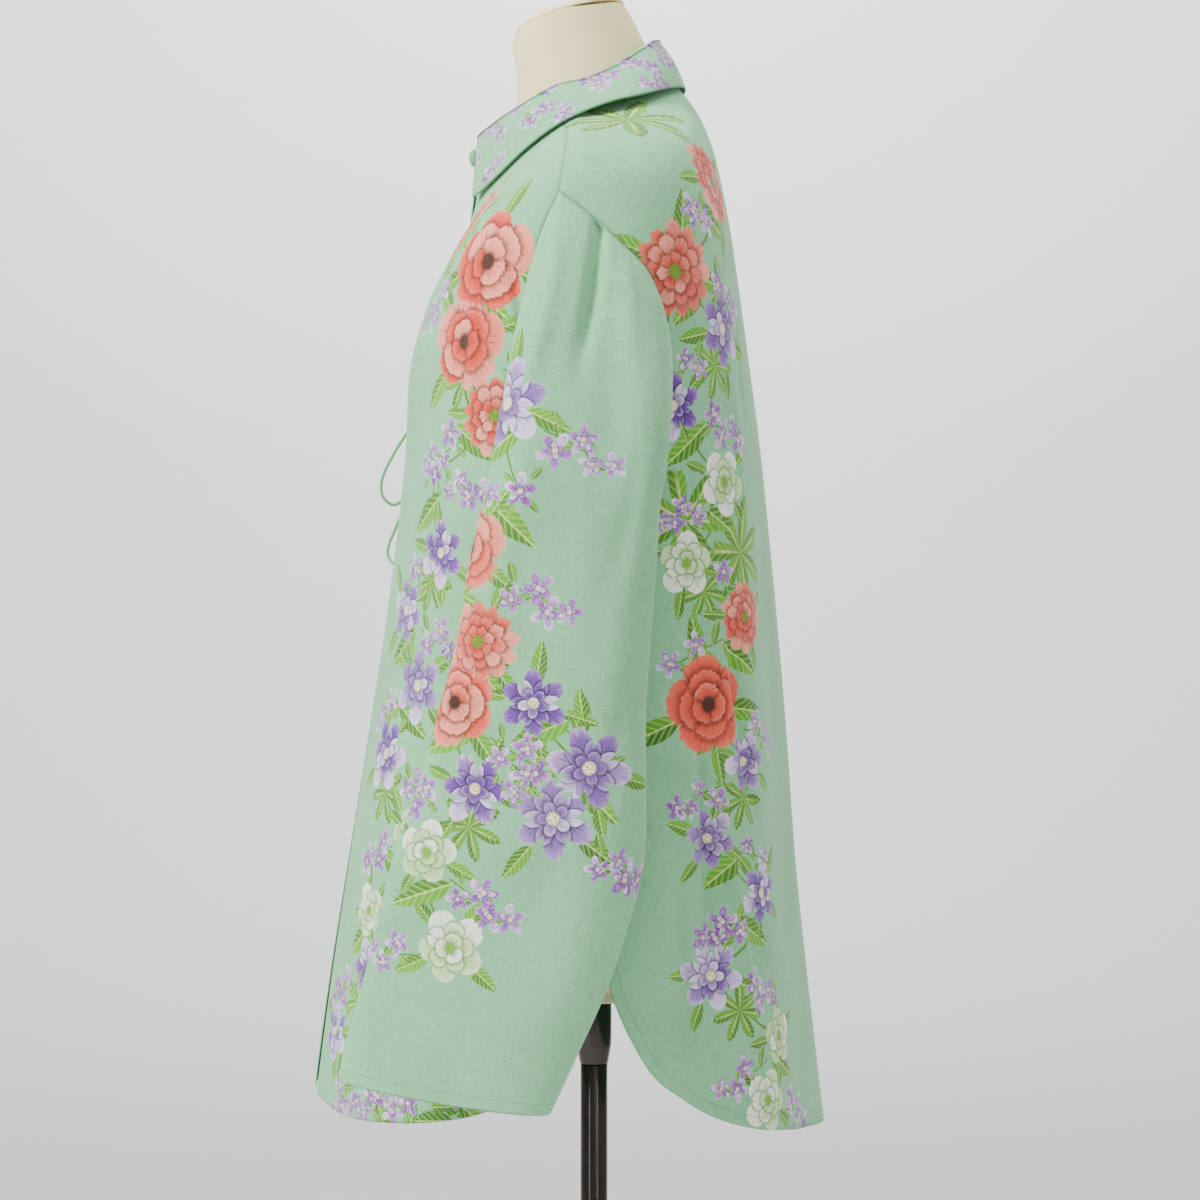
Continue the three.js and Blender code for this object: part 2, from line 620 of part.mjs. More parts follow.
function addSleeves() {
  const left = sleeveGrid();
  const right = left.map((line) => line.map(({ x, y, z }) => new THREE.Vector3(-x, y, z)).reverse());
  for (const [name, outer] of [['sleeve_left', left], ['sleeve_right', right]]) {
    addMesh(name, clothGeometry(outer, innerGrid(outer, WALL, true), true), LINEN);
  }
}

// Angles of the collar's columns, from the left front end round the back to the right front end.
// They are the neck columns of the panels, so that the collar's edge follows theirs.
function collarAngles() {
  const half = [...NECK_ANGLES.front, ...NECK_ANGLES.back.slice(0, -1).reverse()];
  return [...half, ...half.slice(0, -1).reverse().map((angle) => 360 - angle)];
}

function addCollarStand() {
  const endTurn = angleAtX(STAND_END, 0);
  const angles = [-endTurn, ...collarAngles(), 360 + endTurn];
  const outer = [];
  for (let row = 0; row <= STAND_ROWS; row += 1) {
    outer.push(angles.map((angle) => {
      const low = ringPoint(BODY[0], angle);
      const high = ringPoint(FOLD_RING, angle);
      low.z += STAND_LIFT + (angle < 0 || angle > 360 ? STAND_END_LIFT : 0);
      high.z -= STAND_LIFT;
      const point = high.lerp(low, row / STAND_ROWS);
      if (angle < STAND_LAP_ANGLE) point.y += LAP_DEPTH;
      return point;
    }));
  }
  addMesh('collar_stand', clothGeometry(outer, innerGrid(outer, WALL)), LINEN);
}

// Points and slopes of the near half of the body round the neck.
function neckSurface() {
  const samples = [];
  for (let angle = 0; angle <= 180; angle += NECK_SAMPLES.angle) {
    for (let level = LEVEL_STEP; level < NECK_SAMPLES.lastLevel; level += NECK_SAMPLES.level) {
      samples.push({ point: bodyPoint(angle, level), normal: bodyNormal(angle, level) });
    }
  }
  return samples;
}

// Moves a point of the leaf out until it is clear of the body.
function liftOff(point, samples) {
  const near = new THREE.Vector3(Math.abs(point.x), point.y, point.z);
  let best = samples[0];
  for (const sample of samples) {
    if (sample.point.distanceToSquared(near) < best.point.distanceToSquared(near)) best = sample;
  }
  const clear = near.clone().sub(best.point).dot(best.normal);
  if (clear < LEAF_CLEAR) near.addScaledVector(best.normal, LEAF_CLEAR - clear);
  near.x *= Math.sign(point.x) || 1;
  return near;
}

// The leaf starts just above the stand, rolls over outwards and hangs down to its edge.
function addCollarLeaf() {
  const edges = (angle) => {
    const side = angle > 180 ? 360 - angle : angle;
    const next = Math.max(1, LEAF_EDGE.findIndex((row) => row.angle >= side));
    const from = LEAF_EDGE[next - 1];
    const span = LEAF_EDGE[next].angle - from.angle;
    const row = rowAt(LEAF_EDGE, next - 1 + (side - from.angle) / span);
    return new THREE.Vector3(angle > 180 ? -row.x : row.x, row.y, row.z);
  };
  const samples = neckSurface();
  const ends = LEAF_EDGE[0].angle;
  const angles = [ends, ...collarAngles(), 360 - ends];
  const grid = angles.map((angle) => {
    const fold = ringPoint(FOLD_RING, angle);
    const edge = edges(angle);
    const out = new THREE.Vector3(edge.x - fold.x, edge.y - fold.y, 0).normalize();
    const middle = fold.clone().addScaledVector(out, LEAF_ROLL);
    const column = LEAF_TURNS.map((turn) => {
      const point = middle.clone().addScaledVector(out, LEAF_ROLL * Math.cos(radians(turn)));
      point.z += LEAF_ROLL * Math.sin(radians(turn));
      return point;
    });
    const start = column.at(-1);
    for (let row = 1; row <= LEAF_DROP_ROWS; row += 1) {
      const part = row / LEAF_DROP_ROWS;
      const point = start.clone().lerp(edge, part);
      point.addScaledVector(out, LEAF_BELLY * Math.sin(Math.PI * part));
      column.push(liftOff(point, samples));
    }
    return column;
  });
  const outer = grid[0].map((_, row) => grid.map((column) => column[row]));
  addMesh('collar_leaf', clothGeometry(outer, innerGrid(outer, LEAF_WALL)), LINEN);
}

function addButton() {
  const { radius, height, z, gap } = BUTTON;
  const dome = BUTTON_DOME.map(({ out, up }) => new THREE.Vector2(radius * out, height * up));
  const geometry = new THREE.LatheGeometry(dome, ROUND_SIDES / 2);
  const share = (z - BODY[0].zFront) / (FOLD_RING.zFront - BODY[0].zFront);
  const y = THREE.MathUtils.lerp(BODY[0].yFront, FOLD_RING.yFront, share);
  const lean = Math.atan2(BODY[0].yFront - FOLD_RING.yFront, FOLD_RING.zFront - BODY[0].zFront);
  geometry.rotateX(Math.PI - lean);
  geometry.translate(0, y - gap, z);
  addMesh('neck_button', geometry, CORD);
}

function addLoop(name, points, side) {
  const last = points.length - 1;
  const route = points.map(({ y, z }, index) => (
    new THREE.Vector3(side * LOOP_BOW * Math.sin((Math.PI * index) / last), y, z)
  ));
  const curve = new THREE.CatmullRomCurve3(route, false, 'centripetal');
  const outline = new THREE.Shape();
  for (let corner = 0; corner < LOOP_SIDES; corner += 1) {
    const turn = (2 * Math.PI * corner) / LOOP_SIDES;
    const x = LOOP_RADIUS * Math.cos(turn);
    const y = LOOP_RADIUS * Math.sin(turn);
    if (corner === 0) outline.moveTo(x, y);
    else outline.lineTo(x, y);
  }
  outline.closePath();
  const steps = Math.round(curve.getLength() / LOOP_STEP);
  addMesh(name, new THREE.ExtrudeGeometry(outline, { steps, extrudePath: curve }), CORD);
}

// A solid through closed rings from top to bottom, with a point closing each end.
function ringSolid(rings, topPoint, lowPoint) {
  const count = rings[0].length;
  const positions = [...rings.flat(), topPoint, lowPoint].flatMap((point) => point.toArray());
  const top = rings.length * count;
  const indices = [];
  const at = (row, column) => row * count + (column % count);
  for (let column = 0; column < count; column += 1) {
    for (let row = 0; row < rings.length - 1; row += 1) {
      indices.push(at(row, column), at(row + 1, column), at(row + 1, column + 1));
      indices.push(at(row, column), at(row + 1, column + 1), at(row, column + 1));
    }
    indices.push(top, at(0, column), at(0, column + 1));
    indices.push(top + 1, at(rings.length - 1, column + 1), at(rings.length - 1, column));
  }
  const geometry = new THREE.BufferGeometry();
  geometry.setAttribute('position', new THREE.Float32BufferAttribute(positions, 3));
  geometry.setIndex(indices);
  return geometry;
}

function ringOf(row) {
  return Array.from({ length: FORM_SIDES }, (_, side) => ringPoint(row, (360 * side) / FORM_SIDES));
}

function centreOf(ring) {
  const sum = ring.reduce((total, point) => total.add(point), new THREE.Vector3());
  return sum.divideScalar(ring.length);
}

function addForm() {
  const rings = Array.from({ length: FORM_ROWS }, (_, row) => (
    ringOf(rowAt(FORM, ((FORM.length - 1) * row) / (FORM_ROWS - 1)))
  ));
  addMesh('form_torso', ringSolid(rings, centreOf(rings[0]), centreOf(rings.at(-1))), COTTON);

  const capLow = centreOf(rings[0]);
  capLow.z += SEAM_GAP;
  const capTop = capLow.clone();
  capTop.z += CAP_EDGE + CAP_RISE;
  const capFoot = rings[0].map((point) => point.clone().setZ(point.z + SEAM_GAP));
  const capRings = CAP_TURNS.map((turn) => capFoot.map((point) => {
    const moved = point.clone().lerp(capLow, 1 - Math.cos(radians(turn)));
    moved.z += CAP_EDGE + CAP_RISE * Math.sin(radians(turn));
    return moved;
  }));
  capRings.push(capFoot);
  addMesh('form_cap', ringSolid(capRings, capTop, capLow), COTTON);

  const foot = FORM.at(-1);
  const boardTop = foot.zSide - SEAM_GAP;
  const narrow = {
    ...foot,
    half: foot.half - BOARD_INSET,
    yFront: foot.yFront + BOARD_INSET,
    yBack: foot.yBack - BOARD_INSET,
  };
  const board = [boardTop, boardTop - BOARD_THICK].map((z) => ringOf(narrow).map((point) => point.setZ(z)));
  addMesh('form_board', ringSolid(board, centreOf(board[0]), centreOf(board[1])), COTTON);
  return boardTop - BOARD_THICK;
}

function addTurned(name, profile, finish) {
  const geometry = new THREE.LatheGeometry(profile.map(([r, z]) => new THREE.Vector2(r, z)), ROUND_SIDES);
  geometry.rotateX(Math.PI / 2);
  addMesh(name, geometry, finish);
}

function addStand(boardLow) {
  const top = boardLow - SEAM_GAP;
  const { radius, lowRadius, low, taper } = BRACKET;
  addTurned('stand_bracket', [
    [0, low],
    [lowRadius, low],
    [radius, low + taper],
    [radius, top],
    [0, top],
  ], CHROME);
  addTurned('stand_pole', [
    [0, SOCKET.top + SEAM_GAP],
    [POLE_RADIUS, SOCKET.top + SEAM_GAP],
    [POLE_RADIUS, low - SEAM_GAP],
    [0, low - SEAM_GAP],
  ], CHROME);
  addTurned('stand_socket', [
    [0, BASE.thick + SEAM_GAP],
    [SOCKET.radius, BASE.thick + SEAM_GAP],
    [SOCKET.radius, SOCKET.top - SOCKET.edge],
    [SOCKET.radius - SOCKET.edge, SOCKET.top],
    [0, SOCKET.top],
  ], CHROME);
  addTurned('stand_base', [
    [0, 0],
    [BASE.radius, 0],
    [BASE.radius, BASE.thick - BASE.edge],
    [BASE.radius - BASE.edge, BASE.thick],
    [0, BASE.thick],
  ], CHROME);
}

addFronts();
addBack();
addSleeves();
addCollarStand();
addCollarLeaf();
addButton();
addLoop('loop_upper', LOOP_UPPER, 1);
addLoop('loop_lower', LOOP_LOWER, -1);
addStand(addForm());

export default tunic;
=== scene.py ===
import math

import bpy
import numpy as np
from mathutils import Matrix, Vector
from mathutils.kdtree import KDTree


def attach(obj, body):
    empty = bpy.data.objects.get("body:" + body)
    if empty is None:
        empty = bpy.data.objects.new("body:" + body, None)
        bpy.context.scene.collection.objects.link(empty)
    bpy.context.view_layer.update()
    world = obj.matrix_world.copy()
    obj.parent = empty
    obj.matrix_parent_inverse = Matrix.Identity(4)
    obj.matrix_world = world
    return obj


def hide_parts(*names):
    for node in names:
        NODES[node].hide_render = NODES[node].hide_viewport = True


bl_info = {
    "name": "Printed linen tunic",
    "version": (1, 0, 0),
    "blender": (4, 5, 0),
    "location": "View3D > Sidebar > Tunic",
    "description": "Builds a printed linen tunic on its dress form, with a plain studio round it",
    "category": "Object",
}

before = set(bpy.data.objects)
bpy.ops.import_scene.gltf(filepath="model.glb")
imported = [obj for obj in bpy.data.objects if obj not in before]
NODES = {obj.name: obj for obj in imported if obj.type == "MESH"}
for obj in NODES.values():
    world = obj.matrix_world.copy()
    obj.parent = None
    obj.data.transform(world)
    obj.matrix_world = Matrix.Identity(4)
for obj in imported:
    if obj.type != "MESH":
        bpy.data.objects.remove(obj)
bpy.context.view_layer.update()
MM = 0.001

# Body of the tunic, a row for each ring from the neck seam down, in millimetres.
# half, z_side, y_front, z_front, y_back, z_back, y_side, square
BODY = (
    (66, 1444, -95.5, 1398, 64, 1476, -13, 2.0),
    (115, 1422, -98, 1371, 82, 1452, -8, 1.85),
    (165, 1401, -101, 1351, 93, 1424, -2, 2.15),
    (196, 1376, -109, 1334, 100, 1392, 2, 2.4),
    (206, 1345, -119, 1314, 107, 1352, 5, 2.6),
    (209, 1300, -131, 1290, 114, 1305, 6, 2.6),
    (208, 1242, -145, 1242, 123, 1242, 6, 2.5),
    (203, 1170, -149.5, 1170, 133, 1170, 6, 2.4),
    (198, 1068, -162, 1068, 144, 1068, 6, 2.2),
    (196, 959, -179, 959, 153.5, 959, 7, 2.05),
    (198, 855, -196, 855, 161, 855, 8, 1.95),
    (201, 769, -210, 769, 170, 769, 8, 1.85),
    (205, 690, -221, 690, 179, 690, 8, 1.8),
    (207, 630, -228, 630, 186, 630, 8, 1.8),
)
FRONT_EASE = 0.1
BACK_FALL = 1.7

# Folds of the body, the same on both sides: angle, width in degrees, depth, z_top, z_low
BODY_FOLDS = (
    (34, 13, 5, 1040, 700),
    (58, 12, -4, 980, 720),
    (118, 10, -6, 960, 700),
    (136, 12, 5, 1180, 680),
    (158, 11, -5, 1240, 660),
)
FOLD_FADE = 160

# Creases of the body: width, depth, then the angle and z of each point
BODY_CREASES = (
    (6, -5.6, (128, 1072), (131, 1000), (134, 940), (140, 870)),
    (5, -5.2, (116, 995), (119, 930), (121, 860), (122, 770)),
    (7, 4.6, (124, 935), (128, 860), (131, 790), (133, 700)),
    (7, -4.8, (110, 880), (113, 810), (118, 730)),
    (6, -1.6, (150, 1290), (147, 1230), (146, 1180)),
    (9, 1.6, (140, 1240), (141, 1180), (139, 1100)),
    (6, -3.6, (64, 1330), (70, 1285), (76, 1235), (80, 1190)),
    (8, 2.4, (52, 1310), (56, 1250), (60, 1190)),
    (7, -1.8, (20, 900), (24, 820), (27, 740)),
    (9, 1.7, (38, 860), (42, 790), (45, 720)),
    (6, -1.4, (54, 800), (50, 740), (46, 694)),
    (7, -2.3, (234, 1040), (230, 980), (226, 905), (223, 850)),
    (8, 1.7, (243, 930), (239, 870), (236, 800)),
    (6, -1.8, (214, 1270), (211, 1200), (214, 1130)),
    (7, -1.7, (252, 860), (248, 810), (246, 760)),
    (6, -2.2, (297, 1325), (291, 1280), (284, 1225)),
    (8, 1.6, (306, 1280), (301, 1220), (298, 1150)),
    (7, -1.8, (338, 930), (334, 850), (331, 760)),
    (8, 1.6, (318, 880), (315, 800), (312, 725)),
    (9, -1.3, (170, 1150), (172, 1040), (168, 930)),
    (9, -1.2, (190, 1010), (187, 900), (192, 790)),
)

# Hems, from the middle of the panel to the top of the side vent: angle, z
HEM_FRONT = (
    (6, 678), (20, 675.5), (33, 673), (45, 675.5), (55, 681),
    (63, 689), (71, 703), (78.5, 728), (85, 762), (90, 800),
)
HEM_BACK = (
    (180, 648), (166, 653), (153, 659), (141, 667), (131, 674), (121, 686),
    (112, 703), (104.5, 720), (98.5, 745), (93.5, 772), (90, 798),
)
# Angles of the shoulder seam, of the side seam and of the neck's columns
SHOULDER_ANGLE = 80.5
SHOULDER_END_Z = 1356
SIDE_ANGLE = 90
NECK_FRONT = (16, 32, 48, 64, SHOULDER_ANGLE)
NECK_BACK = (180, 160, 140, 120, 100, SHOULDER_ANGLE)
# Steps of a panel: along the shoulder, down to the armpit, down to the hem, across the lap
SHOULDER_COLUMNS = 5
CHEST_STEPS = 8
SKIRT_STEPS = 11
LAP_COLUMNS = 8
# The lap of the fronts, and how far the left one lies under the right one
LAP = 16
LAP_EDGE = LAP + 2
LAP_DEPTH = 2.1
LAP_BLEND = 18

# Armhole seen from the side, from the shoulder seam down: y, z
ARMPIT = (5, 1160)
ARMHOLE_BACK = ((0, 1336), (20, 1318), (39, 1298), (50, 1262), (48, 1215), (32, 1177))
ARMHOLE_FRONT = ((-38, 1325), (-46, 1290), (-50, 1250), (-46, 1207), (-26, 1172))
ARMHOLE_MIDDLE = (206, 0, 1258)

# Sleeve below the armpit: z_front, z_back, y_front, y_back, x_front, x_back, thick
SLEEVE = (
    (1130, 1130, -78, 47, 233, 236, 50),
    (1080, 1080, -89, 44, 230, 236, 54),
    (1030, 1030, -97, 40, 226, 236, 56),
    (980, 980, -110.5, 37, 222, 236, 57),
    (930, 930, -124.5, 37, 217, 236, 57),
    (880, 880, -142, 35.5, 212, 236, 57),
    (836, 832, -153, 24, 207, 236, 56),
    (795, 786, -163, 8, 203, 236, 55),
    (757, 742, -174, -12, 199, 236, 54),
    (720.5, 703, -182, -30, 196, 236, 53),
)
SLEEVE_SQUARE = 2.3
SLEEVE_LEAN = (0, -0.22, -1)
SLEEVE_CLEAR = 4
SLEEVE_SLANT = math.radians(12)
ARMPIT_EASE = 8
HEAD_GAP = 0.2
# Head of the sleeve at the armpit and at the shoulder: x and z of its slope, how it starts and how it arrives
HEAD_LOW = (1, -0.15, 18, 26)
HEAD_HIGH = (0.62, -0.78, 150, 190)
HEAD_SPREAD = 0.42

# Folds of the sleeve: round, width in degrees, depth, z_top, z_low
SLEEVE_FOLDS = (
    (20, 16, -5, 1330, 1180),
    (-34, 16, 3, 1300, 1150),
    (40, 22, 3, 1120, 800),
    (-30, 22, -3, 1040, 760),
)
SLEEVE_FADE = 70

# Creases of the sleeve: width, depth, then the round and z of each point
SLEEVE_CREASES = (
    (4.6, -7.5, (29, 1395), (28, 1332), (24, 1320), (20, 1304), (16, 1286), (11, 1265), (5, 1238), (1, 1200)),
    (8, 3.2, (-2, 1345), (-11, 1286), (-17, 1264), (-24, 1242), (-32, 1205)),
    (9, 2.2, (44, 1320), (40, 1280), (34, 1225)),
    (8, -2.4, (-44, 1342), (-56, 1300), (-66, 1250)),
    (9, -1.6, (42, 1190), (38, 1120), (30, 1050)),
    (11, -1.5, (-24, 1130), (-16, 1060), (-12, 980)),
    (10, 1.4, (6, 1150), (12, 1080), (14, 1000)),
    (9, -1.7, (52, 1010), (46, 950), (36, 890)),
    (10, -1.5, (20, 920), (14, 860), (6, 800)),
    (9, 1.5, (-36, 960), (-32, 890), (-30, 820)),
    (8, -1.3, (-54, 900), (-50, 840), (-46, 770)),
    (9, -1.4, (160, 1060), (166, 980), (170, 900)),
)

# Millimetres of cloth in one degree, for the creases of the body and of the sleeve
BODY_DEGREE = 3.4
SLEEVE_DEGREE = 1.0

# Steps of a sleeve: along half an armhole, down its head, between two rows of its table
ARMHOLE_STEPS = 16
HEAD_STEPS = 14
SLEEVE_STEPS = 2

# How many times finer each piece of cloth is than its table of steps
FRONT_FINER = 12
BACK_FINER = 10
SLEEVE_FINER = 6
STAND_FINER = 8
LEAF_FINER = 14

# Halvings that find a level, rounds that find a place, points between two of a curve
LEVEL_TRIES = 26
PLACE_TRIES = 8
CURVE_POINTS = 40
# Rows and columns of the grid that the flat cut is walked on
CUT_ANGLES = 121
CUT_LEVELS = 131

# Collar. The ring is where the leaf rolls over the stand.
FOLD_RING = (59, 1463, -92.5, 1428, 47, 1507, -18, 2)
STAND_END = 10
STAND_STEPS = 4
STAND_LAP = (14, 30)
LEAF_ROLL = 3.2
LEAF_TURNS = (180, 155, 130, 105, 80, 55, 30, 15)
LEAF_FALL = (0.25, 0.5, 0.75, 1)
LEAF_BELLY = 3
LEAF_CLEAR = 3.9
LEAF_STEPS = 4
# angle, x, y, z of the leaf's lower edge
LEAF_EDGE = (
    (7, 47, -95, 1377),
    (20, 66, -83, 1382.5),
    (36, 82, -65, 1392.5),
    (54, 93, -42, 1412),
    (72, 101, -20, 1427),
    (92, 99, 4, 1439),
    (115, 84, 33, 1449),
    (140, 57, 56, 1460),
    (160, 29, 69, 1467),
    (180, 0, 73, 1470),
)

# Dress form, a row for each ring from the seam of its neck cap down. The cover is then drawn onto the solid.
# half, y_front, z_front, y_back, z_back
FORM = (
    (47, -63, 1514, 24, 1538),
    (49, -66.5, 1502, 34, 1522),
    (51, -58, 1462, 47, 1492),
    (60, -78, 1396, 56, 1463),
    (113, -92, 1366, 75, 1443),
    (161, -96.5, 1346, 88, 1418.6),
    (184, -103, 1331, 96, 1389),
    (189, -113, 1313, 102, 1352),
    (182, -125.5, 1290, 108, 1300),
    (168, -139, 1240, 107, 1240),
    (154, -134, 1195, 99, 1195),
    (133, -107, 1130, 84, 1130),
    (124, -90, 1068, 78, 1068),
    (136, -94, 1000, 90, 1000),
    (156, -101, 930, 106, 930),
    (168, -104, 868, 115, 868),
    (168, -102, 816, 113, 816),
    (158, -96, 774, 105, 774),
)
FORM_SIDES = 96
FORM_STEPS = 2
CAP_RISE = 9
CAP_EDGE = 1
CAP_TURNS = (0, 12, 24, 36, 48, 60, 72, 82, 88)
SEAM_GAP = 0.3
BOARD_INSET = 3
BOARD_THICK = 7.7
BOARD_EDGE = 1.5

# Stand, each piece up from its lowest ring: radius, z
BRACKET = ((11.4, 693), (14, 709), (14, 765.7))
POLE = ((10.8, 52.3), (10.8, 692.7))
SOCKET = ((24, 12.3), (24, 52))
BASE = ((170, 0), (170, 12))
SOCKET_EDGE = 4
BASE_EDGE = 3
POLE_EDGE = 0.8
STAND_SIDES = 96

# Covered button: how far out and up its rings lie, as shares of its radius and height
BUTTON_DOME = (
    (0.89, 0), (1, 0.2), (0.97, 0.38), (0.9, 0.55), (0.76, 0.76),
    (0.6, 0.88), (0.3, 0.98), (0.04, 1),
)
BUTTON_RADIUS = 7.2
BUTTON_HEIGHT = 6
BUTTON_FOOT = (-93.95, 1416.5)
BUTTON_LEAN = -0.0997

# Cord loops at the centre front: y, z
LOOP_UPPER = (
    (-149.6, 1197), (-157, 1185), (-163, 1174), (-168, 1163), (-170, 1153.5),
    (-168.5, 1145.5), (-164, 1140.5), (-159, 1139), (-154.2, 1142),
)
LOOP_LOWER = ((-155.8, 1128), (-160, 1118), (-164, 1109), (-165.5, 1101), (-164, 1096), (-160.6, 1092))
LOOP_BOW = 5
LOOP_POINTS = 40
LOOP_ROUNDNESS = 6

# Bands of the print, as y and z of points on the near side, and how far the blooms lie beside them
FRONT_BAND = (
    (-77, 1368), (-81, 1285), (-84, 1211), (-105, 1160), (-130, 1063),
    (-140, 1000), (-148, 915), (-158, 840), (-184, 760), (-194, 705),
)
FRONT_FRINGE = ((-186, 700), (-160, 684), (-130, 680), (-100, 690))
BACK_BAND = (
    (62, 1400), (76, 1330), (80, 1250), (80, 1150), (84, 1063),
    (100, 985), (104, 900), (104, 830), (124, 745), (146, 672),
)
BACK_LEAVES = ((24, 1425), (66, 1120), (108, 1100))
BACK_LEAF_TURNS = (70, 200, 20)
BACK_LEAF_SIZE = 46
BACK_WIDE = 30
SLEEVE_BANDS = (
    ((-52, 1232), (-50, 1170), (-78, 1110), (-90, 1050), (-88, 980), (-104, 900), (-112, 800)),
    ((-40, 1010), (-16, 950), (-12, 880)),
)
SLEEVE_WIDE = 15
PRINT_STRENGTH = 0.97
# Radius of each kind of bloom. A bloom this many times bigger hides one that lies this far into it.
BLOOM_SIZES = (40, 34, 30, 13, 25)
BLOOM_BIGGER = 1.5
BLOOM_HIDES = 0.95
# A value that no motif reaches, and the same for distances from edges, with their step and reach
OUTSIDE = 9.0
EDGE_FAR = 99.0
EDGE_STEP = 0.5
EDGE_REACH = 30
# Length of a stitch with its gap, and how far the stitch lines lie from hems and from seams
STITCH = 3.1
HEM_STITCH = 8.5
SEAM_STITCH = 2.6

# Seed of each piece's layout, 1 for the left and -1 for the right, and the kinds of its blooms in turn
FRONT_PRINTS = (
    ("front_left", 1, 21, (1, 0, 0, 1, 3, 2, 2, 2, 2, 4, 4, 2, 2)),
    ("front_right", -1, 34, (0, 1, 1, 0, 2, 3, 2, 2, 4, 4, 2, 2)),
)
BACK_SEED = 55
BACK_PRINTS = (
    (1, (1, 2, 2, 4, 4, 1, 0, 2, 2, 2, 2, 4, 4)),
    (-1, (0, 2, 4, 4, 2, 0, 1, 2, 2, 4, 2, 4)),
)
SLEEVE_SEEDS = (("sleeve_left", 1, 71), ("sleeve_right", -1, 89))
SLEEVE_KINDS = ((2, 3, 0, 1, 0, 2, 4, 4, 4), (2, 2))
# Sprigs round the collar leaf, and the two rows of points that they start from, with their steps
COLLAR_SPRIGS = 15
COLLAR_ROWS = ((20, 4), (34, 5))

# Camera at the side: place in metres, lens and sensor in millimetres
CAMERA_PLACE = (1.9, 0.0048, 1.063)
CAMERA_LENS = 71.25
CAMERA_SENSOR = 36

# Studio, in metres: radius of the floor, of the sweep up to the wall, and the wall's height
STUDIO_FLOOR = 4.4
STUDIO_SWEEP = 1.6
STUDIO_WALL = 3.0
STUDIO_SIDES = 96
SWEEP_STEP = 10
# Lamps: name, place and aim in metres, width and height, watts
LAMPS = (
    ("key", (1.4, -2.3, 3.2), (0, 0, 1.2), (0.9, 0.9), 205),
    ("fill", (3.2, 1.2, 1.6), (0, 0, 1.0), (2.0, 2.0), 7),
    ("top", (-0.2, 0.7, 3.8), (0, 0, 1.0), (2.0, 2.0), 95),
    ("wall", (-3.0, 0, 4.0), (-6, 0, 3.6), (2.0, 2.0), 272),
    ("strip_front", (1.9, -1.5, 0.9), (0, 0, 0.7), (0.09, 1.5), 7),
    ("strip_back", (2.1, 1.1, 0.9), (0, 0, 0.7), (0.05, 1.5), 5),
)
SKY_COLOUR = (0.9, 0.92, 0.95)
SKY_STRENGTH = 0.34


def srgb(text):
    """A colour written as six hexadecimal digits, in Blender's linear values."""
    values = [int(text[i:i + 2], 16) / 255 for i in (1, 3, 5)]
    return tuple(v / 12.92 if v <= 0.04045 else ((v + 0.055) / 1.055) ** 2.4 for v in values)


def smooth(values, low, high):
    """0 at low and 1 at high, smooth between."""
    part = np.clip((values - low) / (high - low), 0, 1)
    return part * part * (3 - 2 * part)


def row_at(table, place):
    """The columns of a table at places between its rows, smooth from one row to the next."""
    rows = np.array(table, float)
    last = len(rows) - 1
    place = np.asarray(place, float)
    index = np.clip(np.floor(place).astype(int), 0, last - 1)
    part = (place - index)[..., None]
    a, b, c, d = (rows[np.clip(index + step, 0, last)] for step in (-1, 0, 1, 2))
    bend = (2 * a - 5 * b + 4 * c - d) * part ** 2 + (3 * b - a - 3 * c + d) * part ** 3
    return np.moveaxis(b + 0.5 * ((c - a) * part + bend), -1, 0)


def ring_point(row, angle):
    """Points of rings at angles from the centre front, in degrees."""
    half, z_side, y_front, z_front, y_back, z_back, y_side, square = row
    sine = np.sin(np.radians(angle))
    cosine = np.cos(np.radians(angle))
    power = 2 / square
    y_end = np.where(cosine > 0, y_front, y_back)
    z_end = np.where(cosine > 0, z_front, z_back)
    ease = (np.hypot(cosine, FRONT_EASE) - FRONT_EASE) / (math.hypot(1, FRONT_EASE) - FRONT_EASE)
    fall = np.where(cosine > 0, ease, np.abs(cosine) ** BACK_FALL)
    x = half * np.sign(sine) * np.abs(sine) ** power
    y = y_side + (y_end - y_side) * np.abs(cosine) ** power
    z = z_side + (z_end - z_side) * fall
    return np.stack(np.broadcast_arrays(x, y, z), axis=-1)


def fold_depth(folds, place, z, fade):
    """How far the broad folds move points out."""
    depth = 0
    for middle, width, amount, z_top, z_low in folds:
        away = (place - middle + 180) % 360 - 180
        across = np.exp(-((away / width) ** 2))
        depth = depth + amount * across * smooth(z_top - z, 0, fade) * smooth(z - z_low + fade, 0, fade)
    return depth


def crease_depth(creases, place, z, per_degree):
    """How far the creases move points out. Each is a soft line that fades at both ends."""
    total = 0
    for width, depth, *points in creases:
        line = np.array(points, float) * (per_degree, 1)
        steps = np.linalg.norm(np.diff(line, axis=0), axis=1)
        starts = np.concatenate([[0], np.cumsum(steps)])
        best = np.full(np.shape(z), 1e9)
        along = np.zeros(np.shape(z))
        for a, b, start, step in zip(line[:-1], line[1:], starts, steps):
            turn = (place * per_degree - a[0] + 180 * per_degree) % (360 * per_degree) - 180 * per_degree
            part = np.clip((turn * (b[0] - a[0]) + (z - a[1]) * (b[1] - a[1])) / step ** 2, 0, 1)
            away = np.hypot(turn - part * (b[0] - a[0]), z - a[1] - part * (b[1] - a[1]))
            nearer = away < best
            best = np.where(nearer, away, best)
            along = np.where(nearer, (start + part * step) / starts[-1], along)
        ends = smooth(along, 0, 0.35) * smooth(1 - along, 0, 0.35)
        total = total + depth * ends * np.exp(-((best / width) ** 2))
    return total


def plain_body(angle, level):
    """The body's outer surface with no folds."""
    return ring_point(row_at(BODY, np.clip(level, 0, len(BODY) - 1)), angle)


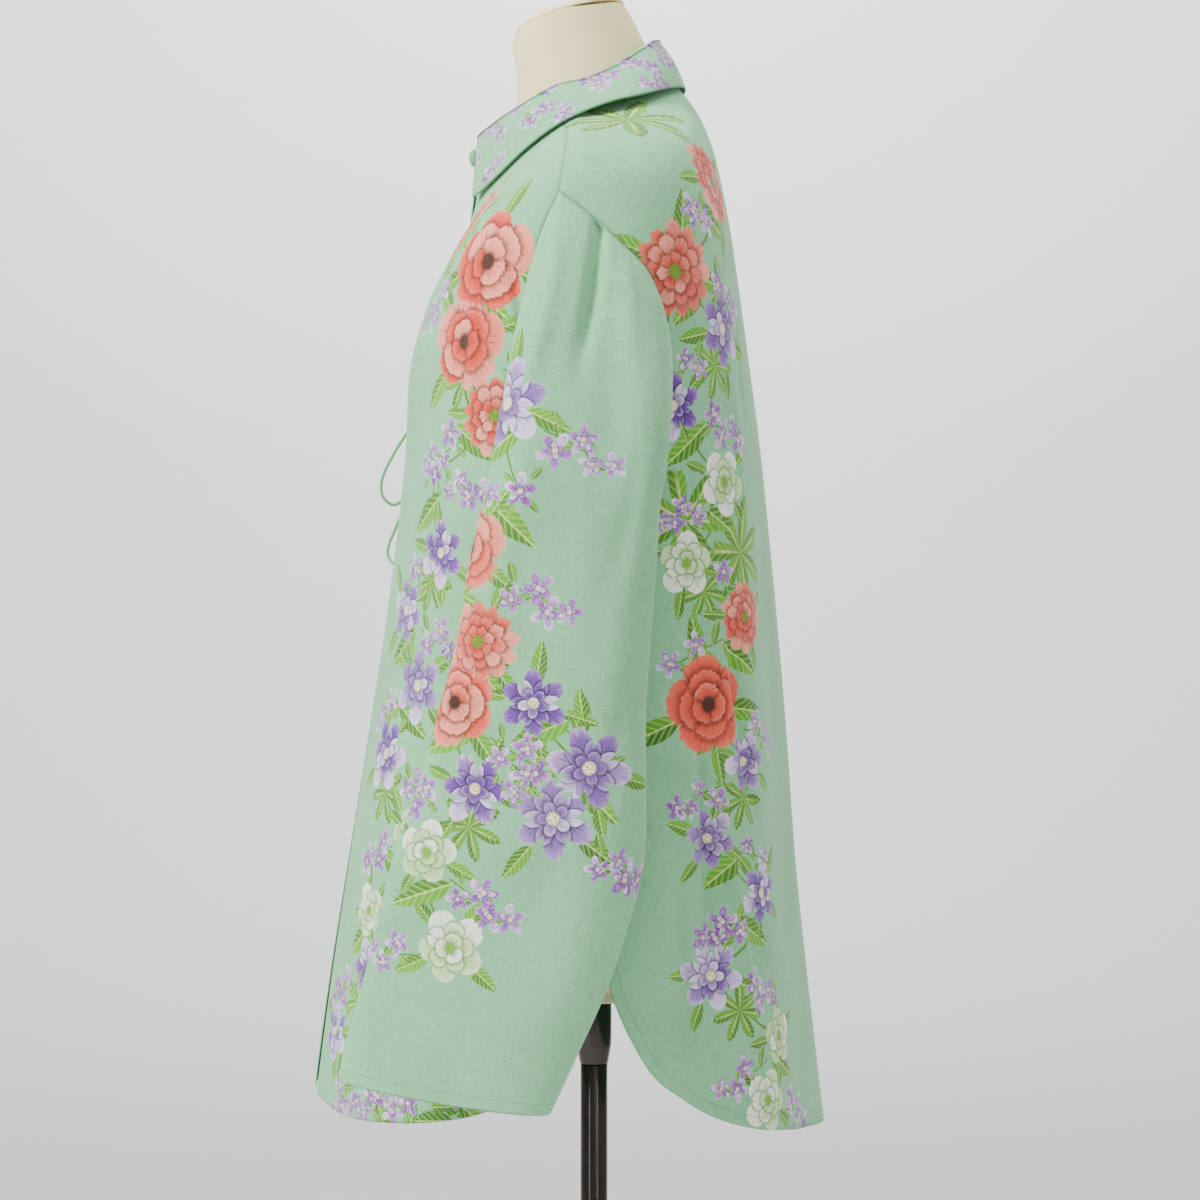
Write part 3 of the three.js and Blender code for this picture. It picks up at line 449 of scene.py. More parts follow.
def body_point(angle, level, creased=True):
    """The body's outer surface at an angle and a level of the table, with its folds."""
    point = plain_body(angle, level)
    side = np.abs((angle + 180) % 360 - 180)
    out = np.stack([point[..., 0], point[..., 1] - BODY[0][6], np.zeros(point.shape[:-1])], axis=-1)
    out /= np.linalg.norm(out, axis=-1, keepdims=True)
    depth = fold_depth(BODY_FOLDS, side, point[..., 2], FOLD_FADE)
    if creased:
        depth = depth + crease_depth(BODY_CREASES, angle % 360, point[..., 2], BODY_DEGREE)
    return point + out * depth[..., None]


def level_at(angle, z):
    """The level of the body at a height, for each angle."""
    high = np.zeros(np.broadcast(angle, z).shape)
    low = high + len(BODY) - 1
    for _ in range(LEVEL_TRIES):
        middle = (high + low) / 2
        above = plain_body(angle, middle)[..., 2] > z
        high = np.where(above, middle, high)
        low = np.where(above, low, middle)
    return (high + low) / 2


def side_place(y, z):
    """The angle and level of the near side of the body that has this y and z."""
    angle = np.full(np.broadcast(y, z).shape, float(SIDE_ANGLE))
    for _ in range(PLACE_TRIES):
        level = level_at(angle, z)
        row = row_at(BODY, level)
        end = np.where(y < row[6], row[2], row[4])
        share = np.clip((y - row[6]) / (end - row[6]), 0, 1)
        turn = np.degrees(np.arccos(share ** (row[7] / 2)))
        angle = np.where(y < row[6], turn, 180 - turn)
    return angle, level


def angle_at_x(x, level):
    """The angle at which the body's front has a given x."""
    row = row_at(BODY, level)
    return np.degrees(np.arcsin((x / row[0]) ** (row[7] / 2)))


def curve_through(points, count):
    """Points spread evenly along a centripetal curve through the given ones."""
    points = np.array(points, float)
    ends = [2 * points[0] - points[1], *points, 2 * points[-1] - points[-2]]
    fine = []
    for a, b, c, d in zip(ends, ends[1:], ends[2:], ends[3:]):
        t1, t2, t3 = np.cumsum([max(1e-6, np.linalg.norm(q - p) ** 0.5) for p, q in ((a, b), (b, c), (c, d))])
        t = np.linspace(t1, t2, CURVE_POINTS)[:, None]
        ab = (a * (t1 - t) + b * t) / t1
        bc = (b * (t2 - t) + c * (t - t1)) / (t2 - t1)
        cd = (c * (t3 - t) + d * (t - t2)) / (t3 - t2)
        abc, bcd = (ab * (t2 - t) + bc * t) / t2, (bc * (t3 - t) + cd * (t - t1)) / (t3 - t1)
        fine.append((abc * (t2 - t) + bcd * (t - t1)) / (t2 - t1))
    fine = np.concatenate(fine)
    along = np.concatenate([[0], np.cumsum(np.linalg.norm(np.diff(fine, axis=0), axis=1))])
    at = np.linspace(0, along[-1], count + 1)
    return np.stack([np.interp(at, along, fine[:, k]) for k in range(fine.shape[1])], axis=1)


def finer(values, times):
    """A list of values or of rows of values with times as many steps, smooth between its own."""
    rows = np.array(values, float).reshape(len(values), -1)
    fine = row_at(rows, np.linspace(0, len(rows) - 1, (len(rows) - 1) * times + 1))
    return fine.T.reshape(-1, *np.shape(values)[1:])


def fill_patch(top, bottom, first, last):
    """Fills a patch from its four edges. Each edge is an array of (angle, level)."""
    v = np.linspace(0, 1, len(first))[:, None, None]
    u = np.linspace(0, 1, len(top))[None, :, None]
    edges = (1 - v) * top[None] + v * bottom[None] + (1 - u) * first[:, None] + u * last[:, None]
    corners = (1 - v) * ((1 - u) * top[0] + u * top[-1]) + v * ((1 - u) * bottom[0] + u * bottom[-1])
    return edges - corners


def places_at(angle, z):
    """Places on the body at angles and heights."""
    angle, z = np.broadcast_arrays(np.asarray(angle, float), np.asarray(z, float))
    return np.stack([angle, level_at(angle, z)], axis=-1)


def half_panel(neck, hem, armhole, times, first_x=None):
    """Places of half a panel from its middle to its side: one patch above the armpit, one below."""
    neck_angles = finer(neck, times)
    hem_angles, hem_z = finer([a for a, _ in hem], times), finer([z for _, z in hem], times)
    end_level = float(level_at(np.array(SHOULDER_ANGLE), SHOULDER_END_Z))
    levels = np.linspace(0, end_level, SHOULDER_COLUMNS * times + 1)[1:]
    top = np.concatenate([
        np.stack([neck_angles, 0 * neck_angles], axis=-1),
        np.stack([np.full(len(levels), float(SHOULDER_ANGLE)), levels], axis=-1),
    ])
    end = plain_body(np.array(float(SHOULDER_ANGLE)), np.array(end_level))
    edge = curve_through([end[1:], *armhole, ARMPIT], CHEST_STEPS * times)
    angles, edge_levels = side_place(edge[:, 0], edge[:, 1])
    below_z = np.linspace(ARMPIT[1], hem[-1][1], SKIRT_STEPS * times + 1)[1:]
    last = np.concatenate([np.stack([angles, edge_levels], axis=-1), places_at(SIDE_ANGLE, below_z)])
    chest = places_at(np.linspace(hem[0][0], SIDE_ANGLE, len(top)), ARMPIT[1])
    chest[-1] = last[CHEST_STEPS * times]
    bottom = places_at(hem_angles, hem_z)
    z_top = plain_body(top[:1, 0], top[:1, 1])[0, 2]
    first_z = np.concatenate([
        np.linspace(z_top, ARMPIT[1], CHEST_STEPS * times + 1),
        np.linspace(ARMPIT[1], hem[0][1], SKIRT_STEPS * times + 1)[1:],
    ])
    first_angle = np.interp(np.arange(len(first_z)), [0, CHEST_STEPS * times], [neck[0], hem[0][0]])
    first = places_at(first_angle, first_z)
    if first_x is not None:
        first = np.stack([angle_at_x(first_x, first[:, 1]), first[:, 1]], axis=-1)
    top[0], chest[0], bottom[0] = first[0], first[CHEST_STEPS * times], first[-1]
    upper = fill_patch(top, chest, first[:CHEST_STEPS * times + 1], last[:CHEST_STEPS * times + 1])
    lower = fill_patch(chest, bottom, first[CHEST_STEPS * times:], last[CHEST_STEPS * times:])
    return np.concatenate([upper, lower[1:]])


def front_places(times):
    """Places of the left front, from the lap to the side."""
    places = half_panel(NECK_FRONT, HEM_FRONT, ARMHOLE_FRONT, times, LAP_EDGE)
    level = places[:, :1, 1]
    laps = []
    for x in np.linspace(-LAP, LAP_EDGE, LAP_COLUMNS + 1)[:-1]:
        laps.append(np.stack([math.copysign(1, x) * angle_at_x(abs(x), level), level], axis=-1))
    return np.concatenate(laps + [places], axis=1)


def back_places(times):
    """Places of the whole back, from the left side to the right one."""
    half = half_panel(NECK_BACK, HEM_BACK, ARMHOLE_BACK, times)
    other = half[:, 1:] * (-1, 1) + (360, 0)
    return np.concatenate([half[:, ::-1], other], axis=1)


def body_cut(places):
    """Where places lie on the flat cut, in millimetres: across from the middle, down from the neck."""
    angles = np.linspace(0, 180, CUT_ANGLES)
    levels = np.linspace(0, len(BODY) - 1, CUT_LEVELS)
    grid = plain_body(*np.meshgrid(angles, levels))
    across = np.cumsum(np.linalg.norm(np.diff(grid, axis=1, prepend=grid[:, :1]), axis=-1), axis=1)
    down = np.cumsum(np.linalg.norm(np.diff(grid, axis=0, prepend=grid[:1]), axis=-1), axis=0)
    turned = (places[..., 0] + 180) % 360 - 180
    column = np.abs(turned) / 180 * (len(angles) - 1)
    row = np.clip(places[..., 1], 0, levels[-1]) / levels[-1] * (len(levels) - 1)
    i, j = np.minimum(row.astype(int), len(levels) - 2), np.minimum(column.astype(int), len(angles) - 2)
    a, b = row - i, column - j

    def read(values):
        upper = values[i, j] * (1 - b) + values[i, j + 1] * b
        return upper * (1 - a) + (values[i + 1, j] * (1 - b) + values[i + 1, j + 1] * b) * a

    u = read(across)
    if np.abs(turned).mean() > 90:
        u = read(across[:, -1:] - across)
    return np.stack([u * np.sign(turned), read(down)], axis=-1)


def sleeve_point(row, round_):
    """Points of the sleeve's flattened rings, from rows of its table."""
    z_front, z_back, y_front, y_back, x_front, x_back, thick = row
    sine, cosine = np.sin(np.radians(round_)), np.cos(np.radians(round_))
    power = 2 / SLEEVE_SQUARE
    along = (np.sign(sine) * np.abs(sine) ** power)[..., None]
    across = (np.sign(cosine) * np.abs(cosine) ** power * thick / 2)[..., None]
    front = np.stack(np.broadcast_arrays(x_front, y_front, z_front, round_)[:3], axis=-1)
    back = np.stack(np.broadcast_arrays(x_back, y_back, z_back, round_)[:3], axis=-1)
    half = (back - front) / 2
    side = np.stack([half[..., 1], -half[..., 0], 0 * half[..., 0]], axis=-1)
    side /= np.linalg.norm(side, axis=-1, keepdims=True)
    return front + half * (1 + along) + side * across


def sleeve_grid(times):
    """Rows of points of the left sleeve from its armhole to its hem, and the round of each column."""
    end_level = level_at(np.array(float(SHOULDER_ANGLE)), SHOULDER_END_Z)
    end = plain_body(np.array(float(SHOULDER_ANGLE)), end_level)
    edges = []
    for armhole in (ARMHOLE_BACK, ARMHOLE_FRONT):
        edge = curve_through([end[1:], *armhole, ARMPIT], ARMHOLE_STEPS * times)
        edges.append(body_point(*side_place(edge[:, 0], edge[:, 1])))
    start = np.concatenate([edges[0], edges[1][-2:0:-1]])
    inward = np.array(ARMHOLE_MIDDLE) - start
    start = start + HEAD_GAP * inward / np.linalg.norm(inward, axis=1, keepdims=True)
    round_ = np.arange(len(start)) * 360 / len(start)
    steps = np.linspace(0, len(SLEEVE) - 1, (len(SLEEVE) - 1) * SLEEVE_STEPS * times + 1)
    lower = sleeve_point(row_at(SLEEVE, steps[:, None]), np.broadcast_to(round_, (len(steps), len(round_))))
    angle, level = side_place(lower[..., 1], lower[..., 2])
    wall = body_point(angle, level, creased=False)[..., 0] + SLEEVE_CLEAR
    low = lower[..., 2] <= ARMPIT[1] - ARMPIT_EASE
    lower[..., 0] = np.where(low, np.maximum(lower[..., 0], wall), lower[..., 0])
    share = np.clip((start[:, 2] - ARMPIT[1]) / (SHOULDER_END_Z - ARMPIT[1]), 0, 1)
    x, z, begin, arrive = (a + (b - a) * share for a, b in zip(HEAD_LOW, HEAD_HIGH))
    slope = np.stack([x, HEAD_SPREAD * np.sin(np.radians(round_)), z], axis=-1)
    slope *= (begin / np.linalg.norm(slope, axis=1))[:, None]
    lean = np.array(SLEEVE_LEAN) / np.linalg.norm(SLEEVE_LEAN) * arrive[:, None]
    part = np.linspace(0, 1, HEAD_STEPS * times + 1)[:-1, None, None]
    head = (2 * part ** 3 - 3 * part ** 2 + 1) * start + (part ** 3 - 2 * part ** 2 + part) * slope
    head = head + (3 * part ** 2 - 2 * part ** 3) * lower[0] + (part ** 3 - part ** 2) * lean
    grid = np.concatenate([head, lower])
    depth = fold_depth(SLEEVE_FOLDS, round_, grid[..., 2], SLEEVE_FADE)
    depth = depth + crease_depth(SLEEVE_CREASES, round_, grid[..., 2], SLEEVE_DEGREE)
    grid[..., 0] += depth * np.clip(2 * np.arange(len(grid)) / times, 0, 1)[:, None]
    return grid, round_


def walked_cut(grid, middle):
    """The flat cut of a grid of points by walking along its rows from a middle column, and down."""
    across = np.cumsum(np.linalg.norm(np.diff(grid, axis=1, prepend=grid[:, :1]), axis=-1), axis=1)
    down = np.cumsum(np.linalg.norm(np.diff(grid, axis=0, prepend=grid[:1]), axis=-1), axis=0)
    return np.stack([across - across[:, middle:middle + 1], down], axis=-1)


def sleeve_cut(grid, middle):
    """The flat cut of the sleeve as seen from its outer side, turned so that it hangs straight."""
    level = np.linalg.norm(np.diff(grid[..., :2], axis=1, prepend=grid[:, :1, :2]), axis=-1)
    across = np.cumsum(level, axis=1)
    across = across - across[:, middle:middle + 1] + grid[:, middle:middle + 1, 1]
    down = grid[0, middle, 2] - grid[..., 2]
    cosine, sine = math.cos(SLEEVE_SLANT), math.sin(SLEEVE_SLANT)
    return np.stack([across * cosine + down * sine, down * cosine - across * sine], axis=-1)


def collar_angles(times):
    """Angles round the whole neck seam."""
    half = [*NECK_FRONT, *NECK_BACK[:-1][::-1]]
    whole = half + [360 - a for a in half[:-1][::-1]]
    return finer(whole, times)


def stand_grid(times):
    """Rows of points of the collar's stand, from where the leaf rolls over down to the neck."""
    end_turn = float(angle_at_x(STAND_END, np.array(0.0)))
    ends = np.linspace(-end_turn, NECK_FRONT[0], times + 1)[:-1]
    angles = np.concatenate([ends, collar_angles(times), 360 - ends[::-1]])
    low = ring_point(row_at(BODY, np.zeros(len(angles))), angles)
    high = ring_point(np.array(FOLD_RING, float)[:, None] + 0 * angles, angles)
    part = np.linspace(0, 1, STAND_STEPS * times + 1)[:, None, None]
    grid = high + (low - high) * part
    inward = LAP_DEPTH * (1 - smooth(angles, *STAND_LAP))
    grid[..., 1] += inward
    return grid


def leaf_grid(times):
    """The turned-down leaf, from inside its roll to its lower edge, with the coarse columns of the neck."""
    angles = np.concatenate([[LEAF_EDGE[0][0]], collar_angles(1), [360 - LEAF_EDGE[0][0]]])
    side = np.where(angles > 180, 360 - angles, angles)
    table = np.array(LEAF_EDGE, float)
    edge = row_at(table, np.interp(side, table[:, 0], np.arange(len(table))))[1:].T
    edge[:, 0] *= np.where(angles > 180, -1, 1)
    fold = ring_point(np.array(FOLD_RING, float)[:, None] + 0 * angles, angles)
    out = (edge - fold) * (1, 1, 0)
    out /= np.linalg.norm(out, axis=1, keepdims=True)
    middle = fold + out * LEAF_ROLL
    rows = []
    for turn in np.radians(LEAF_TURNS):
        rows.append(middle + out * LEAF_ROLL * math.cos(turn) + (0, 0, LEAF_ROLL * math.sin(turn)))
    rolled = rows[-1]
    neck = np.meshgrid(np.arange(0, 181, 2.0), np.arange(0.02, 2.5, 0.06))
    surface = body_point(*neck, creased=False)
    normal = np.cross(np.gradient(surface, axis=0), np.gradient(surface, axis=1))
    normal /= np.linalg.norm(normal, axis=-1, keepdims=True)
    surface, normal = surface.reshape(-1, 3), normal.reshape(-1, 3)
    for part in LEAF_FALL:
        line = rolled + (edge - rolled) * part + out * LEAF_BELLY * math.sin(math.pi * part)
        near = line * np.stack([np.where(line[:, 0] < 0, -1, 1), 1 + 0 * side, 1 + 0 * side], axis=-1)
        best = np.linalg.norm(near[:, None] - surface[None], axis=-1).argmin(axis=1)
        clear = ((near - surface[best]) * normal[best]).sum(axis=1)
        moved = near + normal[best] * np.maximum(0, LEAF_CLEAR - clear)[:, None]
        rows.append(moved * np.stack([np.where(line[:, 0] < 0, -1, 1), 1 + 0 * side, 1 + 0 * side], axis=-1))
    wide = finer(np.array(rows).transpose(1, 0, 2), times)
    return finer(wide.transpose(1, 0, 2), LEAF_STEPS)


def cloth_object(name, grid, cut, joined=False):
    """A one-layer mesh of cloth from rows of points in millimetres, with its flat cut as the UV map."""
    rows, columns = grid.shape[:2]
    index = np.arange(rows * columns).reshape(rows, columns)
    if joined:
        index = np.concatenate([index, index[:, :1]], axis=1)
        closing = np.linalg.norm(grid[:, 0] - grid[:, -1], axis=-1)
        closed = cut[:, -1] + np.stack([closing, 0 * closing], axis=-1)
        cut = np.concatenate([cut, closed[:, None]], axis=1)
    cut_index = np.arange(cut.shape[0] * cut.shape[1]).reshape(cut.shape[:2])
    faces, places = (
        np.stack([i[:-1, :-1], i[1:, :-1], i[1:, 1:], i[:-1, 1:]], axis=-1).reshape(-1, 4)
        for i in (index, cut_index)
    )
    places = cut.reshape(-1, 2)[places]
    mesh = bpy.data.meshes.new(name)
    mesh.from_pydata((grid.reshape(-1, 3) * MM).tolist(), [], faces.tolist())
    mesh.polygons.foreach_set("use_smooth", [True] * len(mesh.polygons))
    layer = mesh.uv_layers.new(name="cut")
    layer.data.foreach_set("uv", (places * MM).astype(np.float32).ravel())
    piece = bpy.data.objects.new(name, mesh)
    bpy.context.scene.collection.objects.link(piece)
    return piece, places


def store(piece, name, values, domain):
    """Keeps three values for each point or corner of a mesh, for its material to read."""
    attribute = piece.data.attributes.new(name, "FLOAT_VECTOR", domain)
    attribute.data.foreach_set("vector", np.ascontiguousarray(values, np.float32).ravel())


def store_edges(piece, grid, hems, seams):
    """Each point's distance from the nearest hem and the nearest seam, and how far along it is."""
    out = np.full((grid.size // 3, 3), EDGE_FAR)
    for column, lines in enumerate((hems, seams)):
        if not lines:
            continue
        walked = []
        for line in lines:
            steps = np.linalg.norm(np.diff(line, axis=0), axis=1)
            along = np.concatenate([[0], np.cumsum(steps)])
            fine = np.arange(0, along[-1], EDGE_STEP)
            walked += [(*(np.interp(at, along, line[:, k]) for k in range(3)), at) for at in fine]
        tree = KDTree(len(walked))
        for number, row in enumerate(walked):
            tree.insert(row[:3], number)
        tree.balance()
        for number, point in enumerate(grid.reshape(-1, 3)):
            _, nearest, away = tree.find(point)
            if away < EDGE_REACH:
                if away < out[number, :2].min():
                    out[number, 2] = walked[nearest][3]
                out[number, column] = away
    store(piece, "edges", out, "POINT")


def flatten(piece, places, seam=()):
    """Unwraps cloth, so that round flowers stay round, and lays the result over its worked-out cut."""
    mesh = piece.data
    ends = set(seam)
    for edge in mesh.edges:
        edge.use_seam = bool(ends) and set(edge.vertices) <= ends
    select_only(piece)
    bpy.ops.object.mode_set(mode="EDIT")
    bpy.ops.mesh.select_all(action="SELECT")
    bpy.ops.uv.unwrap(method="CONFORMAL", margin=0)
    bpy.ops.object.mode_set(mode="OBJECT")
    flat = np.zeros(len(mesh.loops) * 2, np.float32)
    mesh.uv_layers["cut"].data.foreach_get("uv", flat)
    aim = places.reshape(-1, 2) @ (1, 1j)
    best = None
    for turned in (1, -1):
        found = flat.reshape(-1, 2) @ (1, turned * 1j)
        centred, aimed = found - found.mean(), aim - aim.mean()
        scale = (centred.conj() * aimed).sum() / (np.abs(centred) ** 2).sum()
        fitted = scale * centred + aim.mean()
        error = np.abs(fitted - aim).mean()
        if best is None or error < best[0]:
            best = error, fitted
    fitted = np.stack([best[1].real, best[1].imag], axis=-1)
    mesh.uv_layers["cut"].data.foreach_set("uv", (fitted * MM).astype(np.float32).ravel())
    corners = np.zeros(len(mesh.loops), np.int32)
    mesh.loops.foreach_get("vertex_index", corners)
    at_point = np.zeros((len(mesh.vertices), 2))
    at_point[corners] = fitted
    return fitted.reshape(-1, 4, 2), at_point


def cut_at(grid, cut, points):
    """Places on the flat cut of the points of a grid that are nearest to given y and z."""
    flat, places = grid.reshape(-1, 3), cut.reshape(-1, 2)
    return np.array([places[np.hypot(*(flat[:, 1:] - point).T).argmin()] for point in points])


def lay(places, motifs, reach):
    """Gives the corners of each face their place within the motif that owns the face.
    A motif is u, v, size, turn in degrees and a code. The third value is the code."""
    middle = places.mean(axis=1)
    best = np.full(len(places), 1.0)
    out = np.full((len(places), 4, 3), OUTSIDE)
    out[..., 2] = -1
    for u, v, size, turn, code in motifs:
        c, s = math.cos(math.radians(turn)), math.sin(math.radians(turn))
        matrix = np.array([[c, -s], [s, c]])
        away = reach(*((middle - (u, v)) @ matrix / size).T, code)
        owned = away < best
        best = np.where(owned, away, best)
        out[owned, :, :2] = (places[owned] - (u, v)) @ matrix / size
        out[owned, :, 2] = code
    return out


def bloom_reach(x, y, code):
    """How far out of a bloom a place is, 1 at its rim."""
    return np.hypot(x, y) / 1.08


def leaf_reach(x, y, code):
    """How far out of a leaf a place is, 1 at its rim."""
    if code < 1:
        return np.maximum(np.abs(x), np.abs(y) / 0.42) / 1.06
    return np.hypot(x, y) / 1.1


def stem_reach(x, y, code):
    """How far off a bowed stem a place is, 1 at its side."""
    return np.maximum(np.abs(x) / 1.02, np.abs(y - (code - 0.5) * (1 - x * x)) / 0.1)


class Garland:
    """Blooms, leaves and stems set along a line of the flat cut, in this file's own layout."""

    def __init__(self, seed):
        self.random = np.random.default_rng(seed)
        self.blooms, self.leaves, self.stems = [], [], []

    def between(self, low, high):
        """The next random number between two values."""
        return self.random.uniform(low, high)

    def bloom(self, u, v, size, kind, turn=None):
        tint = self.between(0.05, 0.9)
        turn = self.between(0, 360) if turn is None else turn
        self.blooms.append((u, v, size, turn, kind + tint))

    def leaf(self, u, v, size, turn, kind=0):
        self.leaves.append((u, v, size, turn, kind + self.between(0.05, 0.9)))

    def stem(self, a, b, bow=0.12):
        """A bowed stem from a to b."""
        a, b = np.array(a, float), np.array(b, float)
        middle, half = (a + b) / 2, np.linalg.norm(b - a) / 2
        turn = math.degrees(math.atan2(b[1] - a[1], b[0] - a[0]))
        self.stems.append((*middle, half, turn, 0.5 + bow))

    def spray(self, u, v, size, kind):
        """A main bloom with leaves behind it and a small bloom beside it."""
        self.bloom(u, v, size, kind)
        start = self.between(0, 360)
        for k in range(4):
            turn = start + 90 * k + self.between(-22, 22)
            far = size * self.between(1.0, 1.25)
            place = u + far * math.cos(math.radians(turn)), v + far * math.sin(math.radians(turn))
            self.leaf(*place, size * self.between(0.42, 0.62), turn)

    def twig(self, u, v, long, turn, kind=3, count=4):
        """A thin stem with small blooms and leaves to both sides."""
        c, s = math.cos(math.radians(turn)), math.sin(math.radians(turn))
        self.stem((u, v), (u + long * c, v + long * s), self.between(-0.12, 0.12))
        for k in range(count):
            part = (k + 1) / count
            side = -1 if k % 2 else 1
            out = long * 0.16 * side * (1.3 - part)
            place = u + long * part * c - out * s, v + long * part * s + out * c
            self.bloom(*place, self.between(9, 14) if kind == 3 else self.between(13, 17), kind)
            behind = long * (part - 0.13)
            beside = out * 0.8
            foot = u + behind * c + beside * s, v + behind * s - beside * c
            self.leaf(*foot, self.between(7, 11), turn + 50 * side)

    def run(self, line, kinds, pitch=56, wide=20):
        """Blooms by turns to either side of a line of (u, v) points, joined by stems."""
        line = np.array(line, float)
        walked = np.concatenate([[0], np.cumsum(np.linalg.norm(np.diff(line, axis=0), axis=1))])
        count = int(walked[-1] // pitch) + 1
        before = None
        for k in range(count):
            at = walked[-1] * (k + 0.5) / count
            u, v = (np.interp(at, walked, line[:, c]) for c in (0, 1))
            side = 1 if k % 2 else -1
            u = u + side * self.between(0.6, 1.2) * wide
            v = v + self.between(-6, 6)
            kind = kinds[int(k * len(kinds) / count)]
            size = BLOOM_SIZES[kind] * sizes().bloom * self.between(0.85, 1.15)
            self.spray(u, v, size, kind)
            if before is not None:
                self.stem(before, (u, v), 0.16 * side)
                halfway = (np.array(before) + (u, v)) / 2
                self.leaf(halfway[0] - side * 14, halfway[1], 26, 90 + side * 55, k % 3 == 0)
            self.twig(u - side * size * 0.9, v + size * 0.5, self.between(38, 56), 90 + side * 72)
            before = (u, v)

    def fringe(self, places):
        """Leaves and small blooms at places."""
        for u, v in places:
            for _ in range(2):
                across, down = self.between(-16, 16), self.between(-8, 8)
                self.leaf(u + across, v + down, self.between(18, 26), self.between(0, 360))
            self.twig(u, v, self.between(30, 44), self.between(0, 360))


def uncovered(blooms):
    """The blooms without the small ones that would lie on a big one."""

    def covers(big, small):
        return big[2] > BLOOM_BIGGER * small[2] and math.dist(big[:2], small[:2]) < BLOOM_HIDES * big[2]

    kept = []
    for bloom in blooms:
        under = [b for b in blooms if covers(b, bloom)]
        if not under:
            kept.append(bloom)
    return kept


def dress(piece, places, garland):
    """Lays the blooms, leaves and stems of a garland on cloth."""
    for name, motifs, reach in (
        ("blooms", uncovered(garland.blooms), bloom_reach),
        ("leaves", garland.leaves, leaf_reach),
        ("stems", garland.stems, stem_reach),
    ):
        store(piece, name, lay(places, motifs, reach), "CORNER")


class Wire:
    """A socket of a node tree that can be reckoned with like a number."""

    def __init__(self, tree, socket):
        self.tree = tree
        self.socket = socket

    def math(self, operation, *others):
        return add_node(self.tree, "Math", self, *others, operation=operation)

    def __add__(self, other):
        return self.math("ADD", other)

    __radd__ = __add__

    def __sub__(self, other):
        return self.math("SUBTRACT", other)

    def __mul__(self, other):
        return self.math("MULTIPLY", other)

    def __truediv__(self, other):
        return self.math("DIVIDE", other)

    def __pow__(self, other):
        return self.math("POWER", other)

    def __abs__(self):
        return self.math("ABSOLUTE")

    def rise(self, low, high):
        """0 at low and 1 at high, smooth between; low may be the larger one."""
        part = (self - low) / (high - low)
        part.socket.node.use_clamp = True
        return part * part * (part * -2 + 3)

    def part(self, index, kind="XYZ"):
        return add_node(self.tree, "Separate" + kind, self, out=index)

    def toward(self, other, share):
        """This colour blended towards another by a share."""
        passed_over = [None] * 5
        return add_node(self.tree, "Mix", share, *passed_over, self, other, out=2, data_type="RGBA")


def add_node(tree, kind, *values, out=0, **settings):
    """Adds a node, gives it its settings and inputs, and returns one of its outputs."""
    node = tree.nodes.new("ShaderNode" + kind)
    for key, value in settings.items():
        setattr(node, key, value)
    for socket, value in zip(node.inputs, values):
        if isinstance(value, Wire):
            tree.links.new(value.socket, socket)
        elif value is not None:
            socket.default_value = value
    return Wire(tree, node.outputs[out])


RAMP_STEPS = 8


def steps_of(tree, code, colours):
    """The colour with the number that a code's whole part has."""
    wire = add_node(tree, "ValToRGB", code / RAMP_STEPS)
    ramp = wire.socket.node.color_ramp
    ramp.interpolation = "CONSTANT"
    for index, colour in enumerate(colours):
        element = ramp.elements[index] if index < 2 else ramp.elements.new(index / RAMP_STEPS)
        element.position = index / RAMP_STEPS
        element.color = (*colour, 1)
    return wire


# Blooms. The petals of the three rings; how deep the gaps between them are, how pointed they are,
# their veins, their frill; then their deep, middle, pale and eye colours
BLOOMS = (
    (5, 4, 3, 0.30, 0.35, 9, 0.12, "#5A0000", "#DC2410", "#FF9E88", "#3A0806"),
    (13, 10, 7, 0.24, 0.55, 3, 0.14, "#5E0404", "#D62E1C", "#FFA292", "#6C9018"),
    (6, 6, 5, 0.55, 0.78, 6, 0.04, "#12002A", "#640E98", "#EAD6FC", "#F3EFB8"),
    (5, 6, 4, 0.70, 1.10, 4, 0.05, "#30004E", "#8C18B0", "#F2DCFA", "#F0E8A8"),
    (5, 5, 3, 0.42, 0.60, 7, 0.07, "#3C7C18", "#B4DC86", "#FFFBF4", "#7CB030"),
)
BLOOM_RINGS = (0.97, 0.68, 0.40)


def petal_ring(tree, r, theta, code, ring, count, shape, colours):
    """One ring of petals: its colour, and how far inside its edge a place is."""
    deep, middle, pale = colours
    gap, sharp, veins, frill = shape
    turn = theta * count + (0.5 * ring + 3)
    number = turn.math("FLOOR").math("FLOORED_MODULO", count)
    across = turn.math("FRACT") - 0.5
    petal = add_node(tree, "CombineXYZ", number, code, ring)
    own = add_node(tree, "TexWhiteNoise", petal)
    bulge = (across * math.pi).math("COSINE").math("MAXIMUM", 0.001) ** sharp
    rim = add_node(tree, "CombineXYZ", across * 5, number, code)
    wave = add_node(tree, "TexNoise", rim, None, 2.2, 1.0, 0.5) - 0.5
    edge = ((bulge - 1) * gap + 1) * (own * 0.16 + 0.86) * BLOOM_RINGS[ring] + wave * frill
    depth = r / edge
    streak = add_node(tree, "CombineXYZ", across * veins * 2.4, depth, number + code)
    lines = add_node(tree, "TexNoise", streak, None, 2.0, 2.0, 0.6)
    tone = middle.toward(pale, own.rise(0.50, 0.85) * 0.8)
    colour = deep.toward(tone, (depth + lines * 0.5).rise(0.36, 0.92))
    paleness = own.rise(0.2, 0.8) * 0.7 + 0.25
    colour = colour.toward(pale, (depth + (lines - 0.5) * 1.1).rise(0.76, 1.06) * paleness)
    colour = colour.toward(deep, lines.rise(0.53, 0.66) * depth.rise(1.08, 0.5) * 0.9)
    colour = colour.toward(deep, abs(across).rise(0.34, 0.5) * depth.rise(1.2, 0.6) * 0.85)
    return colour, edge - r


